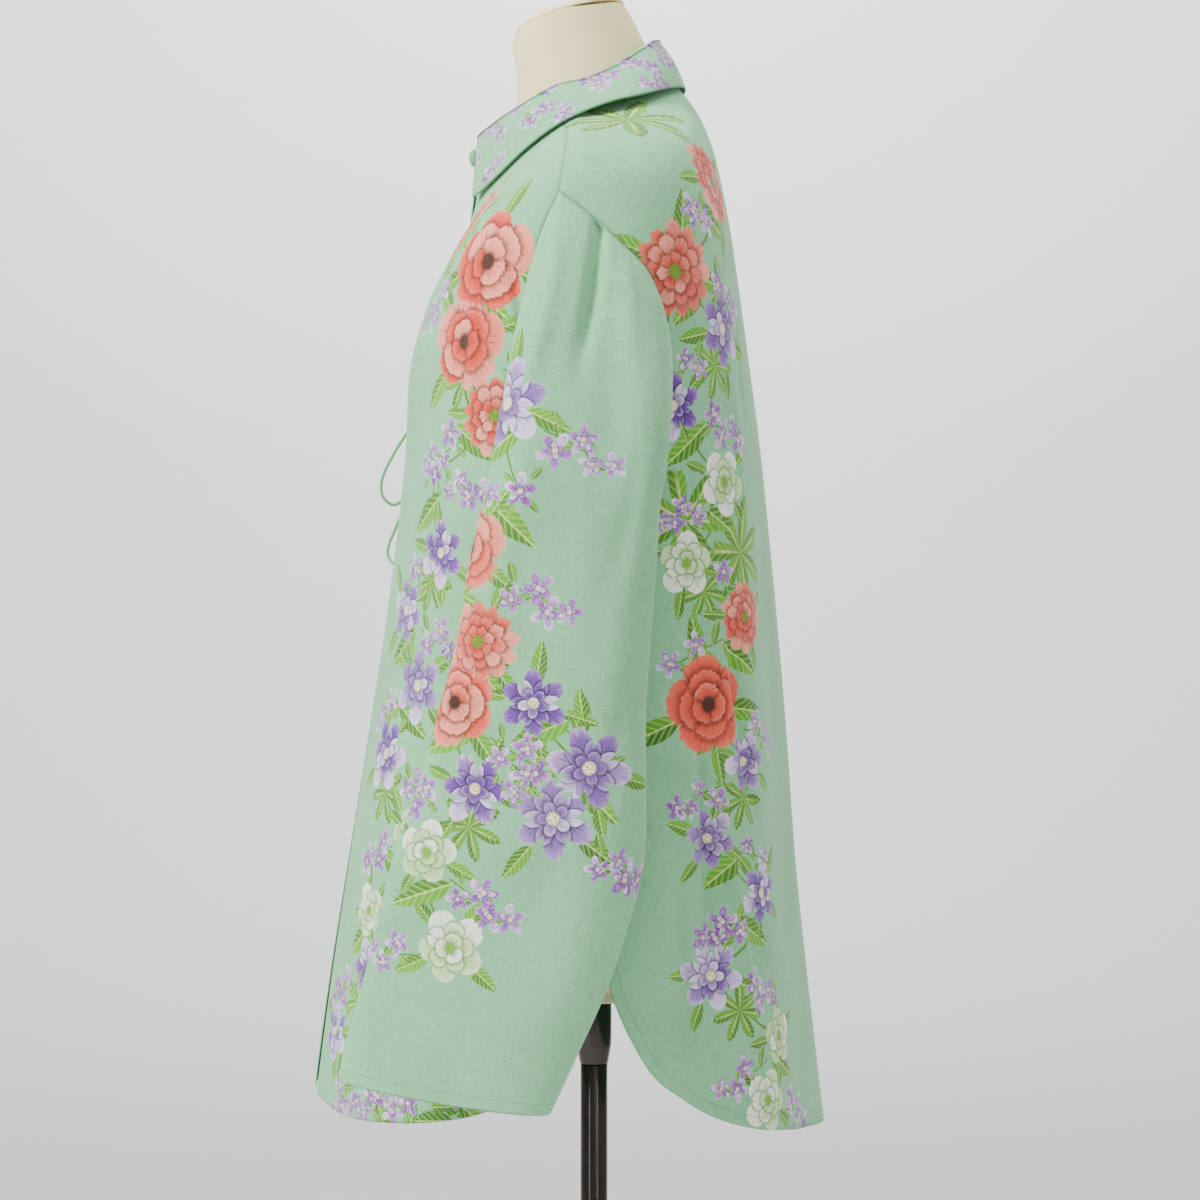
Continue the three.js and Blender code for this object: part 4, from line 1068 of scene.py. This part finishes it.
def bloom_paint(tree, ground):
    """Paints the blooms over a colour."""
    place = add_node(tree, "Attribute", attribute_name="blooms", out=1)
    x, y, code = place.part(0), place.part(1), place.part(2)
    r = (x * x + y * y).math("SQRT")
    theta = y.math("ARCTAN2", x) / (2 * math.pi)
    numbers = steps_of(tree, code, [(a / 16, b / 16, c / 16) for a, b, c, *_ in BLOOMS])
    first = steps_of(tree, code, [(row[3], row[4] / 2, row[5] / 16) for row in BLOOMS])
    frill = steps_of(tree, code, [(row[6], 0, 0) for row in BLOOMS]).part(0, "Color")
    shape = first.part(0, "Color"), first.part(1, "Color") * 2, first.part(2, "Color") * 16, frill
    deep, middle, pale, eye = (steps_of(tree, code, [srgb(row[k]) for row in BLOOMS]) for k in (7, 8, 9, 10))
    middle = middle.toward(pale, code.math("FRACT") * 0.22)
    colour, outer = ground, None
    for ring in range(3):
        count = (numbers.part(ring, "Color") * 16).math("ROUND")
        petals, inside = petal_ring(tree, r, theta, code, ring, count, shape, (deep, middle, pale))
        on = inside.rise(-0.008, 0.014)
        outer = outer or on
        if ring:
            colour = colour.toward(deep, inside.rise(-0.12, 0.0) * outer * 0.75)
        colour = colour.toward(petals, on * outer)
    dots = add_node(tree, "TexVoronoi", place, None, 24.0)
    colour = colour.toward(eye, r.rise(0.17, 0.11))
    return colour.toward(deep, r.rise(0.26, 0.10) * dots.rise(0.45, 0.25) * 0.9)


def leaf_paint(tree, ground, deep, middle, pale):
    """Paints stems and leaves over a colour."""
    place = add_node(tree, "Attribute", attribute_name="stems", out=1)
    x, y, code = place.part(0), place.part(1), place.part(2)
    away = abs(y - (code - 0.5) * (x * x * -1 + 1))
    on = away.rise(0.032, 0.018) * abs(x).rise(1.0, 0.97)
    stem = middle.toward(deep, (y - (code - 0.5) * (x * x * -1 + 1)).rise(-0.02, 0.02) * 0.8)
    colour = ground.toward(stem, on)
    place = add_node(tree, "Attribute", attribute_name="leaves", out=1)
    x, y, code = place.part(0), place.part(1), place.part(2)
    tint = code.math("FRACT")
    wobble = (add_node(tree, "TexNoise", place, None, 4.0, 2.0, 0.5) - 0.5) * 0.10
    blade = (x * x * -1 + 1).math("MAXIMUM", 0.0) * (x * -0.28 + 1) * 0.34
    long_inside = (blade + wobble * 0.5 - abs(y)).rise(-0.006, 0.016)
    veins = ((x * 24 - abs(y) * 30).math("SINE") * 0.5 + 0.5) ** 3 * 0.45
    rib = abs(y).rise(0.035, 0.008)
    long_tone = y.rise(-0.02, 0.02) * 0.5 + tint * 0.35
    r = (x * x + y * y).math("SQRT")
    theta = y.math("ARCTAN2", x) / (2 * math.pi)
    across = (theta * 7 + 3).math("FRACT") - 0.5
    lobes = (across * math.pi).math("COSINE").math("MAXIMUM", 0.001) ** 1.25
    edge = lobes * 0.72 + 0.24 + wobble + (theta * 7 * 12 * math.pi).math("SINE") * 0.02
    lobed_inside = (edge - r).rise(-0.006, 0.016)
    lobed_rib = abs(across).rise(0.10, 0.02) * r.rise(0.95, 0.3)
    lobed_veins = ((r * 34 - abs(across) * 26).math("SINE") * 0.5 + 0.5) ** 3 * 0.4
    lobed = code.rise(0.95, 1.0)

    def either(a, b):
        return a + (b - a) * lobed

    tone = either(long_tone, across.rise(-0.05, 0.05) * 0.45 + tint * 0.35)
    leaf = middle.toward(deep, tone)
    leaf = leaf.toward(pale, either(veins, lobed_veins) * 0.7)
    leaf = leaf.toward(pale, either(rib, lobed_rib) * 0.85)
    inside = either(long_inside, lobed_inside) * code.rise(-0.5, -0.4)
    return colour.toward(leaf, inside)


def new_material(name, rgb, roughness, metallic=0.0):
    """A material with its node tree and shader."""
    material = bpy.data.materials.new(name)
    material.use_nodes = True
    shader = material.node_tree.nodes["Principled BSDF"]
    shader.inputs["Base Color"].default_value = (*rgb, 1)
    shader.inputs["Roughness"].default_value = roughness
    shader.inputs["Metallic"].default_value = metallic
    return material, material.node_tree, shader


def linen(name, colours, printed):
    """Plain-weave linen: slubbed threads both ways keep the flat colour from looking like plastic, with
    painted shade along hem edges and seams.
    """
    material, tree, shader = new_material(name, colours["linen"], 0.86)
    shader.inputs["Sheen Weight"].default_value = 0.18
    shader.inputs["Sheen Roughness"].default_value = 0.45
    shader.inputs["Specular IOR Level"].default_value = 0.25
    cut = add_node(tree, "UVMap", uv_map="cut")
    cut = add_node(tree, "VectorMath", cut, (1000, 1000, 0), operation="MULTIPLY")
    # Single threads are too fine to show, so slubs are drawn, about 0.7 mm wide and 10 mm long
    threads = []
    for across, along in ((1.5, 0.10), (0.10, 1.5)):
        stretched = add_node(tree, "VectorMath", cut, (across, along, 0), operation="MULTIPLY")
        threads.append(add_node(tree, "TexNoise", stretched, None, 1.0, 3.0, 0.6))
    weave = threads[0] + threads[1] - 1
    cloud = add_node(tree, "TexNoise", cut, None, 0.012, 2.0, 0.5) - 0.5
    edges = add_node(tree, "Attribute", attribute_name="edges", out=1)
    hem, seam, along = edges.part(0), edges.part(1), edges.part(2)
    shades = []
    for value in colours.values():
        shades.append(add_node(tree, "RGB"))
        shades[-1].socket.default_value = (*value, 1)
    base, dark, *greens = shades
    colour = base.toward(dark, weave * 1.3 + cloud * 0.6 + 0.17)
    colour.socket.node.clamp_factor = True
    ground = colour
    if printed:
        colour = leaf_paint(tree, colour, *greens)
        colour = bloom_paint(tree, colour)
        colour = colour.toward(ground, 1 - printed + abs(weave) * 0.15)
    dash = (along / STITCH).math("FRACT").rise(0.72, 0.64)
    stitch = abs(hem - HEM_STITCH).rise(0.75, 0.35) * dash
    stitch = stitch.math("MAXIMUM", abs(seam - SEAM_STITCH).rise(0.7, 0.3) * dash * 0.6)
    # Painted shade: the cloth is darkened towards the dark linen within about 1.4 mm of a hem edge and 1.5 mm
    # of a seam; the stitch dashes are darkened too
    line = hem.rise(1.4, 0.2) * 0.45
    line = line.math("MAXIMUM", seam.rise(1.5, 0.2) * 0.55)
    line = line.math("MAXIMUM", stitch * 0.45)
    colour = colour.toward(dark, line)
    height = weave * 0.55 + hem.rise(10.5, 8.8) * 0.5 - stitch * 0.5 - seam.rise(2.0, 0.4) * 0.7
    bump = add_node(tree, "Bump", 0.55, 0.0006, None, height)
    tree.links.new(colour.socket, shader.inputs["Base Color"])
    tree.links.new(bump.socket, shader.inputs["Normal"])
    return material


def plain(name, colour, roughness, grain_mm, bump_mm, metallic=0.0):
    """A plain finish with a fine grain on the object's own coordinates."""
    material, tree, shader = new_material(name, colour, roughness, metallic)
    place = add_node(tree, "TexCoord", out=3)
    grain = add_node(tree, "TexNoise", place, None, 1 / (grain_mm * MM), 2.0, 0.6)
    bump = add_node(tree, "Bump", 0.5, bump_mm * MM, None, grain)
    tree.links.new(bump.socket, shader.inputs["Normal"])
    return material


def cotton():
    """Cotton jersey pulled over the form: a matt cream knit, with no gloss and a very fine grain."""
    return plain("stretched cotton jersey", colour_of("cotton"), 0.9, 1.4, 0.25)


def board():
    """Painted board under the form: flat, a little darker than the jersey."""
    return plain("painted board", colour_of("board"), 0.75, 3, 0.2)


def chrome():
    """Black chrome plate: dark mirror that shows the studio as upright streaks."""
    return plain("black chrome plate", colour_of("chrome"), 0.16, 6, 0.01, metallic=1.0)


def cord_linen():
    """Sewn linen tube: the same linen, turned on the bias, so its threads wind round."""
    material, tree, shader = new_material("sewn linen tube", colour_of("cord"), 0.85)
    place = add_node(tree, "TexCoord", out=3)
    threads = add_node(tree, "TexWave", place, 260.0, 1.5, 2.0, bands_direction="DIAGONAL")
    bump = add_node(tree, "Bump", 0.6, 0.0003, None, threads)
    tree.links.new(bump.socket, shader.inputs["Normal"])
    return material


class TunicSizes(bpy.types.PropertyGroup):
    """Sizes that can be changed."""

    cloth: bpy.props.FloatProperty(
        name="Cloth thickness", description="Thickness of the linen of the body and sleeves",
        default=0.9 * MM, min=0.4 * MM, max=1.1 * MM, unit="LENGTH")
    collar: bpy.props.FloatProperty(
        name="Collar thickness", description="Thickness of the two layers of the collar",
        default=1.2 * MM, min=0.6 * MM, max=1.3 * MM, unit="LENGTH")
    cord: bpy.props.FloatProperty(
        name="Cord thickness", description="Thickness of the two cord loops",
        default=2.5 * MM, min=1.5 * MM, max=3 * MM, unit="LENGTH")
    bloom: bpy.props.FloatProperty(
        name="Print scale", description="Size of the flowers of the print, as a share of the usual one",
        default=1.0, min=0.5, max=1.5, subtype="FACTOR")


def colour_property(name, description, text):
    return bpy.props.FloatVectorProperty(
        name=name, description=description, default=srgb(text), size=3, min=0, max=1, subtype="COLOR")


class TunicColours(bpy.types.PropertyGroup):
    """Colours that can be changed."""

    linen: colour_property("Linen", "Ground colour of the cloth", "#86C796")
    # Dark linen of the slubs and stitches, also used for the painted shade along hem edges and seams
    linen_dark: colour_property("Linen in shade", "Colour of slubs, stitches and hem edges", "#4F8C60")
    reverse: colour_property("Reverse", "Colour of the inside of the cloth", "#9CCBA6")
    cord: colour_property("Cord", "Colour of the cord loops and the button", "#6FAE80")
    leaf_deep: colour_property("Dark leaf", "Shaded side of the printed leaves", "#1C4A0E")
    leaf: colour_property("Leaf", "Middle green of the printed leaves", "#5EA81E")
    leaf_pale: colour_property("Pale leaf", "Veins of the printed leaves", "#CCEC84")
    cotton: colour_property("Form", "Colour of the form's cover", "#F3E3AE")
    board: colour_property("Board", "Colour of the board under the form", "#CFC4A8")
    chrome: colour_property("Stand", "Colour of the stand's plating", "#3B3936")
    studio: colour_property("Studio", "Colour of the floor and backdrop", "#E6E3E3")


def sizes():
    """The sizes that can be changed."""
    return bpy.context.scene.tunic_sizes


def colour_of(name):
    """One of the colours that can be changed."""
    return tuple(getattr(bpy.context.scene.tunic_colours, name))


def select_only(*pieces):
    """Selects these pieces and nothing else."""
    bpy.ops.object.select_all(action="DESELECT")
    for piece in pieces:
        piece.select_set(True)
        bpy.context.view_layer.objects.active = piece


def material_named(name, make, *values):
    """The material of that name, made on its first use."""
    return bpy.data.materials.get(name) or make(*values)


def linen_colours():
    """The colours of the printed linen, the ground first."""
    names = ("linen", "linen_dark", "leaf_deep", "leaf", "leaf_pale")
    return {name: colour_of(name) for name in names}


def modelled(name, rows, sides):
    """A piece modelled up from a disc. A row is half width, half depth, y, z and lean in radians."""
    select_only()
    bpy.ops.mesh.primitive_circle_add(vertices=sides, radius=MM, fill_type="NGON")
    piece = bpy.context.object
    piece.name = piece.data.name = name
    bpy.ops.object.mode_set(mode="EDIT")
    bpy.ops.mesh.select_mode(type="FACE")
    bpy.ops.mesh.select_all(action="SELECT")
    before = (1, 1, 0, 0, 0)
    for number, row in enumerate(rows):
        half, deep, y, z, lean = row
        step = (0, (y - before[2]) * MM, (z - before[3]) * MM)
        centre = (0, y * MM, z * MM)
        if number:
            bpy.ops.mesh.extrude_region_move(TRANSFORM_OT_translate={"value": step})
        else:
            bpy.ops.transform.translate(value=step)
        bpy.ops.transform.rotate(value=before[4], orient_axis="X", center_override=centre)
        bpy.ops.transform.resize(value=(half / before[0], deep / before[1], 1), center_override=centre)
        bpy.ops.transform.rotate(value=-lean, orient_axis="X", center_override=centre)
        before = row
    bpy.ops.mesh.select_all(action="SELECT")
    bpy.ops.mesh.normals_make_consistent(inside=False)
    bpy.ops.object.mode_set(mode="OBJECT")
    return piece


def apply_to(piece, name, kind, **settings):
    """Adds a modifier and applies it."""
    modifier = piece.modifiers.new(name, kind)
    for key, value in settings.items():
        setattr(modifier, key, value)
    select_only(piece)
    bpy.ops.object.modifier_apply(modifier=name)


def finish_hard(piece, node, material, edge=0.0):
    """Rounds a hard piece's edges, gives it its material and puts it in its solid's place."""
    if edge:
        apply_to(piece, "edges", "BEVEL", width=edge * MM, segments=3, limit_method="ANGLE")
    select_only(piece)
    bpy.ops.object.shade_smooth_by_angle(angle=math.radians(35))
    piece.data.materials.append(material)
    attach(piece, "root")
    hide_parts(node)


def finish_cloth(piece, places, node, thickness):
    """Gives cloth its wall and materials, works out its flat area, and puts it in its solid's place."""
    reverse = {**linen_colours(), "linen": colour_of("reverse")}
    for name, colours, printed in (
        ("printed linen", linen_colours(), PRINT_STRENGTH),
        ("linen reverse", reverse, 0),
    ):
        piece.data.materials.append(material_named(name, linen, name, colours, printed))
    apply_to(piece, "wall", "SOLIDIFY", thickness=thickness, offset=-1, material_offset=1)
    across = places[:, 2] - places[:, 0]
    other = places[:, 3] - places[:, 1]
    area = np.abs(across[:, 0] * other[:, 1] - across[:, 1] * other[:, 0]).sum() / 2 * MM * MM
    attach(piece, "root")
    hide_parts(node)


def mirrored(grid, cut):
    """The same cloth for the right side."""
    return grid[:, ::-1] * (-1, 1, 1), cut[:, ::-1] * (-1, 1)


class TUNIC_OT_camera(bpy.types.Operator):
    """Sets up the camera at the side, as in the photograph"""

    bl_idname = "tunic.camera"
    bl_label = "Camera"

    def execute(self, context):
        camera = bpy.data.objects.new("camera", bpy.data.cameras.new("camera"))
        camera.data.sensor_width = CAMERA_SENSOR
        camera.data.lens = CAMERA_LENS
        camera.location = CAMERA_PLACE
        camera.rotation_euler = (math.pi / 2, 0, math.pi / 2)
        context.scene.collection.objects.link(camera)
        context.scene.camera = camera
        return {"FINISHED"}


class TUNIC_OT_cords(bpy.types.Operator):
    """Adds the two cord loops at the centre front"""

    bl_idname = "tunic.cords"
    bl_label = "Cord loops"

    def execute(self, context):
        for node, route, side in (("loop_upper", LOOP_UPPER, 1), ("loop_lower", LOOP_LOWER, -1)):
            name = "cord_" + node
            last = len(route) - 1
            bow = [side * LOOP_BOW * math.sin(math.pi * i / last) for i in range(len(route))]
            points = [(x, y, z) for x, (y, z) in zip(bow, route)]
            fine = curve_through(points, LOOP_POINTS)
            data = bpy.data.curves.new(name, "CURVE")
            data.dimensions = "3D"
            data.bevel_depth = sizes().cord / 2
            data.bevel_resolution = LOOP_ROUNDNESS
            data.use_fill_caps = True
            spline = data.splines.new("POLY")
            spline.points.add(len(fine) - 1)
            for point, at in zip(spline.points, fine):
                point.co = (*(at * MM), 1)
            cord = bpy.data.objects.new(name, data)
            context.scene.collection.objects.link(cord)
            cord.data.materials.append(material_named("sewn linen tube", cord_linen))
            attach(cord, "root")
            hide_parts(node)
        return {"FINISHED"}


class TUNIC_OT_fronts(bpy.types.Operator):
    """Adds the two fronts, the right one lapped over the left"""

    bl_idname = "tunic.fronts"
    bl_label = "Fronts"

    def execute(self, context):
        places = front_places(FRONT_FINER)
        grid = body_point(places[..., 0], places[..., 1])
        cut = body_cut(places)
        under = LAP_DEPTH * (1 - smooth(grid[..., 0], LAP_EDGE, LAP_EDGE + LAP_BLEND))
        lapped = grid + under[..., None] * (0, 1, 0)
        armpit = CHEST_STEPS * FRONT_FINER
        neck = LAP_COLUMNS + (len(NECK_FRONT) - 1) * FRONT_FINER
        for name, side, seed, kinds in FRONT_PRINTS:
            points, flat = (lapped, cut) if side == 1 else mirrored(grid, cut)
            piece, faces = cloth_object("cloth_" + name, points, flat)
            faces, flat = flatten(piece, faces)
            garland = Garland(seed)
            garland.run(cut_at(points * (side, 1, 1), flat, FRONT_BAND), kinds)
            garland.fringe(cut_at(points * (side, 1, 1), flat, FRONT_FRINGE))
            dress(piece, faces, garland)
            plain_side = points if side == 1 else points[:, ::-1]
            outer = plain_side[:, -1]
            seams = [plain_side[0, neck:], outer[:armpit + 1], outer[armpit:], plain_side[:, 0]]
            store_edges(piece, points, [plain_side[-1]], seams)
            finish_cloth(piece, faces, name, sizes().cloth)
        return {"FINISHED"}


class TUNIC_OT_back(bpy.types.Operator):
    """Adds the back, in one piece from the forward shoulder seams to the tail"""

    bl_idname = "tunic.back"
    bl_label = "Back"

    def execute(self, context):
        places = back_places(BACK_FINER)
        grid = body_point(places[..., 0] % 360, places[..., 1])
        cut = body_cut(places)
        piece, faces = cloth_object("cloth_back", grid, cut)
        garland = Garland(BACK_SEED)
        faces, flat = flatten(piece, faces)
        flat = flat.reshape(cut.shape)
        middle = grid.shape[1] // 2
        for side, kinds in BACK_PRINTS:
            half = slice(0, middle + 1) if side == 1 else slice(middle, None)
            garland.run(cut_at(grid[:, half], flat[:, half], BACK_BAND), kinds, wide=BACK_WIDE)
            for at, turn in zip(cut_at(grid[:, half], flat[:, half], BACK_LEAVES), BACK_LEAF_TURNS):
                garland.leaf(*at, BACK_LEAF_SIZE, turn * side, 1)
        dress(piece, faces, garland)
        store_edges(piece, grid, [grid[-1]], [grid[:, 0], grid[:, -1], grid[0]])
        finish_cloth(piece, faces, "back", sizes().cloth)
        return {"FINISHED"}


class TUNIC_OT_sleeves(bpy.types.Operator):
    """Adds the two wide sleeves"""

    bl_idname = "tunic.sleeves"
    bl_label = "Sleeves"

    def execute(self, context):
        grid, round_ = sleeve_grid(SLEEVE_FINER)
        half = len(round_) // 2
        grid = np.roll(grid, half, axis=1)
        cut = sleeve_cut(grid, half)
        for name, side, seed in SLEEVE_SEEDS:
            points, flat = (grid, cut) if side == 1 else mirrored(grid, cut)
            piece, faces = cloth_object("cloth_" + name, points, flat, joined=True)
            garland = Garland(seed)
            faces, flat = flatten(piece, faces, [*range(0, points.size // 3, len(round_))])
            flat = flat.reshape(points.shape[:2] + (2,))
            outside = slice(half // 2, half + half // 2)
            for band, kinds in zip(SLEEVE_BANDS, SLEEVE_KINDS):
                garland.run(cut_at(points[:, outside], flat[:, outside], band), kinds, wide=SLEEVE_WIDE)
            dress(piece, faces, garland)
            closed = [np.concatenate([line, line[:1]]) for line in (points[-1], points[0])]
            store_edges(piece, points, closed[:1], closed[1:])
            finish_cloth(piece, faces, name, sizes().cloth)
        return {"FINISHED"}


class TUNIC_OT_collar(bpy.types.Operator):
    """Adds the collar's stand and its turned-down leaf"""

    bl_idname = "tunic.collar"
    bl_label = "Collar"

    def execute(self, context):
        for name, grid in (("collar_stand", stand_grid(STAND_FINER)), ("collar_leaf", leaf_grid(LEAF_FINER))):
            middle = grid.shape[1] // 2
            cut = walked_cut(grid, middle)
            piece, faces = cloth_object("cloth_" + name, grid, cut)
            garland = Garland(len(name))
            if name == "collar_leaf":
                faces, flat = flatten(piece, faces)
                flat = flat.reshape(cut.shape)
                last = grid.shape[1] - 1
                for k in range(COLLAR_SPRIGS):
                    column = int(last * (k + 0.5) / COLLAR_SPRIGS)
                    for row, step in COLLAR_ROWS:
                        u, v = flat[row + step * (k % 2), column]
                        garland.bloom(u, v, garland.between(8, 12), 3 if k % 3 else 2)
                        garland.twig(u, v, garland.between(18, 26), garland.between(0, 360), count=3)
            dress(piece, faces, garland)
            ends = [grid[:, 0], grid[-1], grid[:, -1]] if name == "collar_leaf" else [grid[-1]]
            store_edges(piece, grid, [], ends)
            finish_cloth(piece, faces, name, sizes().collar)
        return {"FINISHED"}


class TUNIC_OT_button(bpy.types.Operator):
    """Adds the covered button of the collar stand"""

    bl_idname = "tunic.button"
    bl_label = "Button"

    def execute(self, context):
        y, z = BUTTON_FOOT
        lean = math.pi / 2 - BUTTON_LEAN
        rows = []
        for out, up in BUTTON_DOME:
            rise = up * BUTTON_HEIGHT
            radius = out * BUTTON_RADIUS
            at = y - rise * math.cos(BUTTON_LEAN), z + rise * math.sin(BUTTON_LEAN)
            rows.append((radius, radius, *at, lean))
        piece = modelled("neck_button_covered", rows, FORM_SIDES // 2)
        finish_hard(piece, "neck_button", material_named("sewn linen tube", cord_linen))
        return {"FINISHED"}


class TUNIC_OT_form(bpy.types.Operator):
    """Adds the dress form with its neck cap and the board under it"""

    bl_idname = "tunic.form"
    bl_label = "Dress form"

    def execute(self, context):
        steps = np.linspace(0, len(FORM) - 1, (len(FORM) - 1) * FORM_STEPS + 1)
        rows = []
        for half, y_front, z_front, y_back, z_back in row_at(FORM, steps).T:
            lean = math.atan2(z_back - z_front, y_back - y_front)
            deep = math.hypot(y_back - y_front, z_back - z_front) / 2
            rows.append((half, deep, (y_front + y_back) / 2, (z_front + z_back) / 2, lean))
        torso = modelled("dress_form", rows, FORM_SIDES)
        apply_to(torso, "cover", "SHRINKWRAP", target=NODES["form_torso"], wrap_method="NEAREST_SURFACEPOINT")
        finish_hard(torso, "form_torso", material_named("stretched cotton jersey", cotton))
        half, deep, y, z, lean = rows[0]
        rings = [(half, deep, y, z + SEAM_GAP, lean)]
        for turn in CAP_TURNS:
            share = math.cos(math.radians(turn))
            rise = SEAM_GAP + CAP_EDGE + CAP_RISE * math.sin(math.radians(turn))
            rings.append((half * share, deep * share, y, z + rise, lean))
        cap = modelled("dress_form_cap", rings, FORM_SIDES)
        finish_hard(cap, "form_cap", material_named("stretched cotton jersey", cotton))
        half, deep, y, z, lean = rows[-1]
        low = z - SEAM_GAP - BOARD_THICK
        rings = [(half - BOARD_INSET, deep - BOARD_INSET, y, at, 0) for at in (low, z - SEAM_GAP)]
        under = modelled("dress_form_board", rings, FORM_SIDES)
        finish_hard(under, "form_board", material_named("painted board", board), BOARD_EDGE)
        return {"FINISHED"}


class TUNIC_OT_stand(bpy.types.Operator):
    """Adds the plated stand"""

    bl_idname = "tunic.stand"
    bl_label = "Stand"

    def execute(self, context):
        for node, rows, edge in (
            ("stand_bracket", BRACKET, POLE_EDGE),
            ("stand_pole", POLE, POLE_EDGE),
            ("stand_socket", SOCKET, SOCKET_EDGE),
            ("stand_base", BASE, BASE_EDGE),
        ):
            piece = modelled("plated_" + node, [(r, r, 0, z, 0) for r, z in rows], STAND_SIDES)
            finish_hard(piece, node, material_named("black chrome plate", chrome), edge)
        return {"FINISHED"}


class TUNIC_OT_stage(bpy.types.Operator):
    """Adds a plain pale studio with soft light round the tunic"""

    bl_idname = "tunic.stage"
    bl_label = "Studio"

    def execute(self, context):
        bpy.ops.object.select_all(action="DESELECT")
        bpy.ops.mesh.primitive_circle_add(vertices=STUDIO_SIDES, radius=STUDIO_FLOOR, fill_type="NOTHING")
        studio = context.object
        studio.name = "studio"
        bpy.ops.object.mode_set(mode="EDIT")
        bpy.ops.mesh.select_mode(type="EDGE")
        bpy.ops.mesh.select_all(action="SELECT")
        before, radius = 0.0, STUDIO_FLOOR
        for turn in range(SWEEP_STEP, 91, SWEEP_STEP):
            high = STUDIO_SWEEP * (1 - math.cos(math.radians(turn)))
            wide = STUDIO_FLOOR + STUDIO_SWEEP * math.sin(math.radians(turn))
            bpy.ops.mesh.extrude_edges_move(TRANSFORM_OT_translate={"value": (0, 0, high - before)})
            bpy.ops.transform.resize(value=(wide / radius, wide / radius, 1), center_override=(0, 0, high))
            before, radius = high, wide
        bpy.ops.mesh.extrude_edges_move(TRANSFORM_OT_translate={"value": (0, 0, STUDIO_WALL)})
        bpy.ops.mesh.select_all(action="DESELECT")
        bpy.ops.object.mode_set(mode="OBJECT")
        for edge in studio.data.edges:
            edge.select = all(abs(studio.data.vertices[v].co.z) < 1e-6 for v in edge.vertices)
        bpy.ops.object.mode_set(mode="EDIT")
        bpy.ops.mesh.edge_face_add()
        bpy.ops.mesh.select_all(action="SELECT")
        bpy.ops.mesh.normals_make_consistent(inside=True)
        bpy.ops.object.mode_set(mode="OBJECT")
        bpy.ops.object.shade_smooth()
        studio.data.materials.append(new_material("matt studio paint", colour_of("studio"), 0.9)[0])
        for name, place, aim, size, power in LAMPS:
            light = bpy.data.lights.new(name, "AREA")
            light.shape = "RECTANGLE"
            light.size, light.size_y = size
            light.energy = power
            lamp = bpy.data.objects.new(name, light)
            lamp.location = place
            lamp.rotation_euler = (Vector(aim) - Vector(place)).to_track_quat("-Z", "Y").to_euler()
            lamp.visible_camera = False
            context.scene.collection.objects.link(lamp)
        world = bpy.data.worlds.new("sky")
        context.scene.world = world
        world.use_nodes = True
        sky = world.node_tree.nodes["Background"]
        sky.inputs["Color"].default_value = (*SKY_COLOUR, 1)
        sky.inputs["Strength"].default_value = SKY_STRENGTH
        return {"FINISHED"}


class TUNIC_PT_panel(bpy.types.Panel):
    """Lists the pieces of the tunic and what can be changed"""

    bl_idname = "TUNIC_PT_panel"
    bl_label = "Tunic"
    bl_space_type = "VIEW_3D"
    bl_region_type = "UI"
    bl_category = "Tunic"

    def draw(self, context):
        for group in (context.scene.tunic_sizes, context.scene.tunic_colours):
            for name in group.__annotations__:
                self.layout.prop(group, name)
        for operator in OPERATORS:
            self.layout.operator(operator.bl_idname)


OPERATORS = (
    TUNIC_OT_camera,
    TUNIC_OT_cords,
    TUNIC_OT_fronts,
    TUNIC_OT_back,
    TUNIC_OT_sleeves,
    TUNIC_OT_collar,
    TUNIC_OT_button,
    TUNIC_OT_form,
    TUNIC_OT_stand,
    TUNIC_OT_stage,
)
CLASSES = (TunicSizes, TunicColours, *OPERATORS, TUNIC_PT_panel)


def register():
    for item in CLASSES:
        bpy.utils.register_class(item)
    bpy.types.Scene.tunic_sizes = bpy.props.PointerProperty(type=TunicSizes)
    bpy.types.Scene.tunic_colours = bpy.props.PointerProperty(type=TunicColours)


def unregister():
    del bpy.types.Scene.tunic_colours
    del bpy.types.Scene.tunic_sizes
    for item in reversed(CLASSES):
        bpy.utils.unregister_class(item)


def main():
    register()
    for operator in OPERATORS:
        group, name = operator.bl_idname.split(".")
        getattr(getattr(bpy.ops, group), name)()


if __name__ == "__main__":
    main()
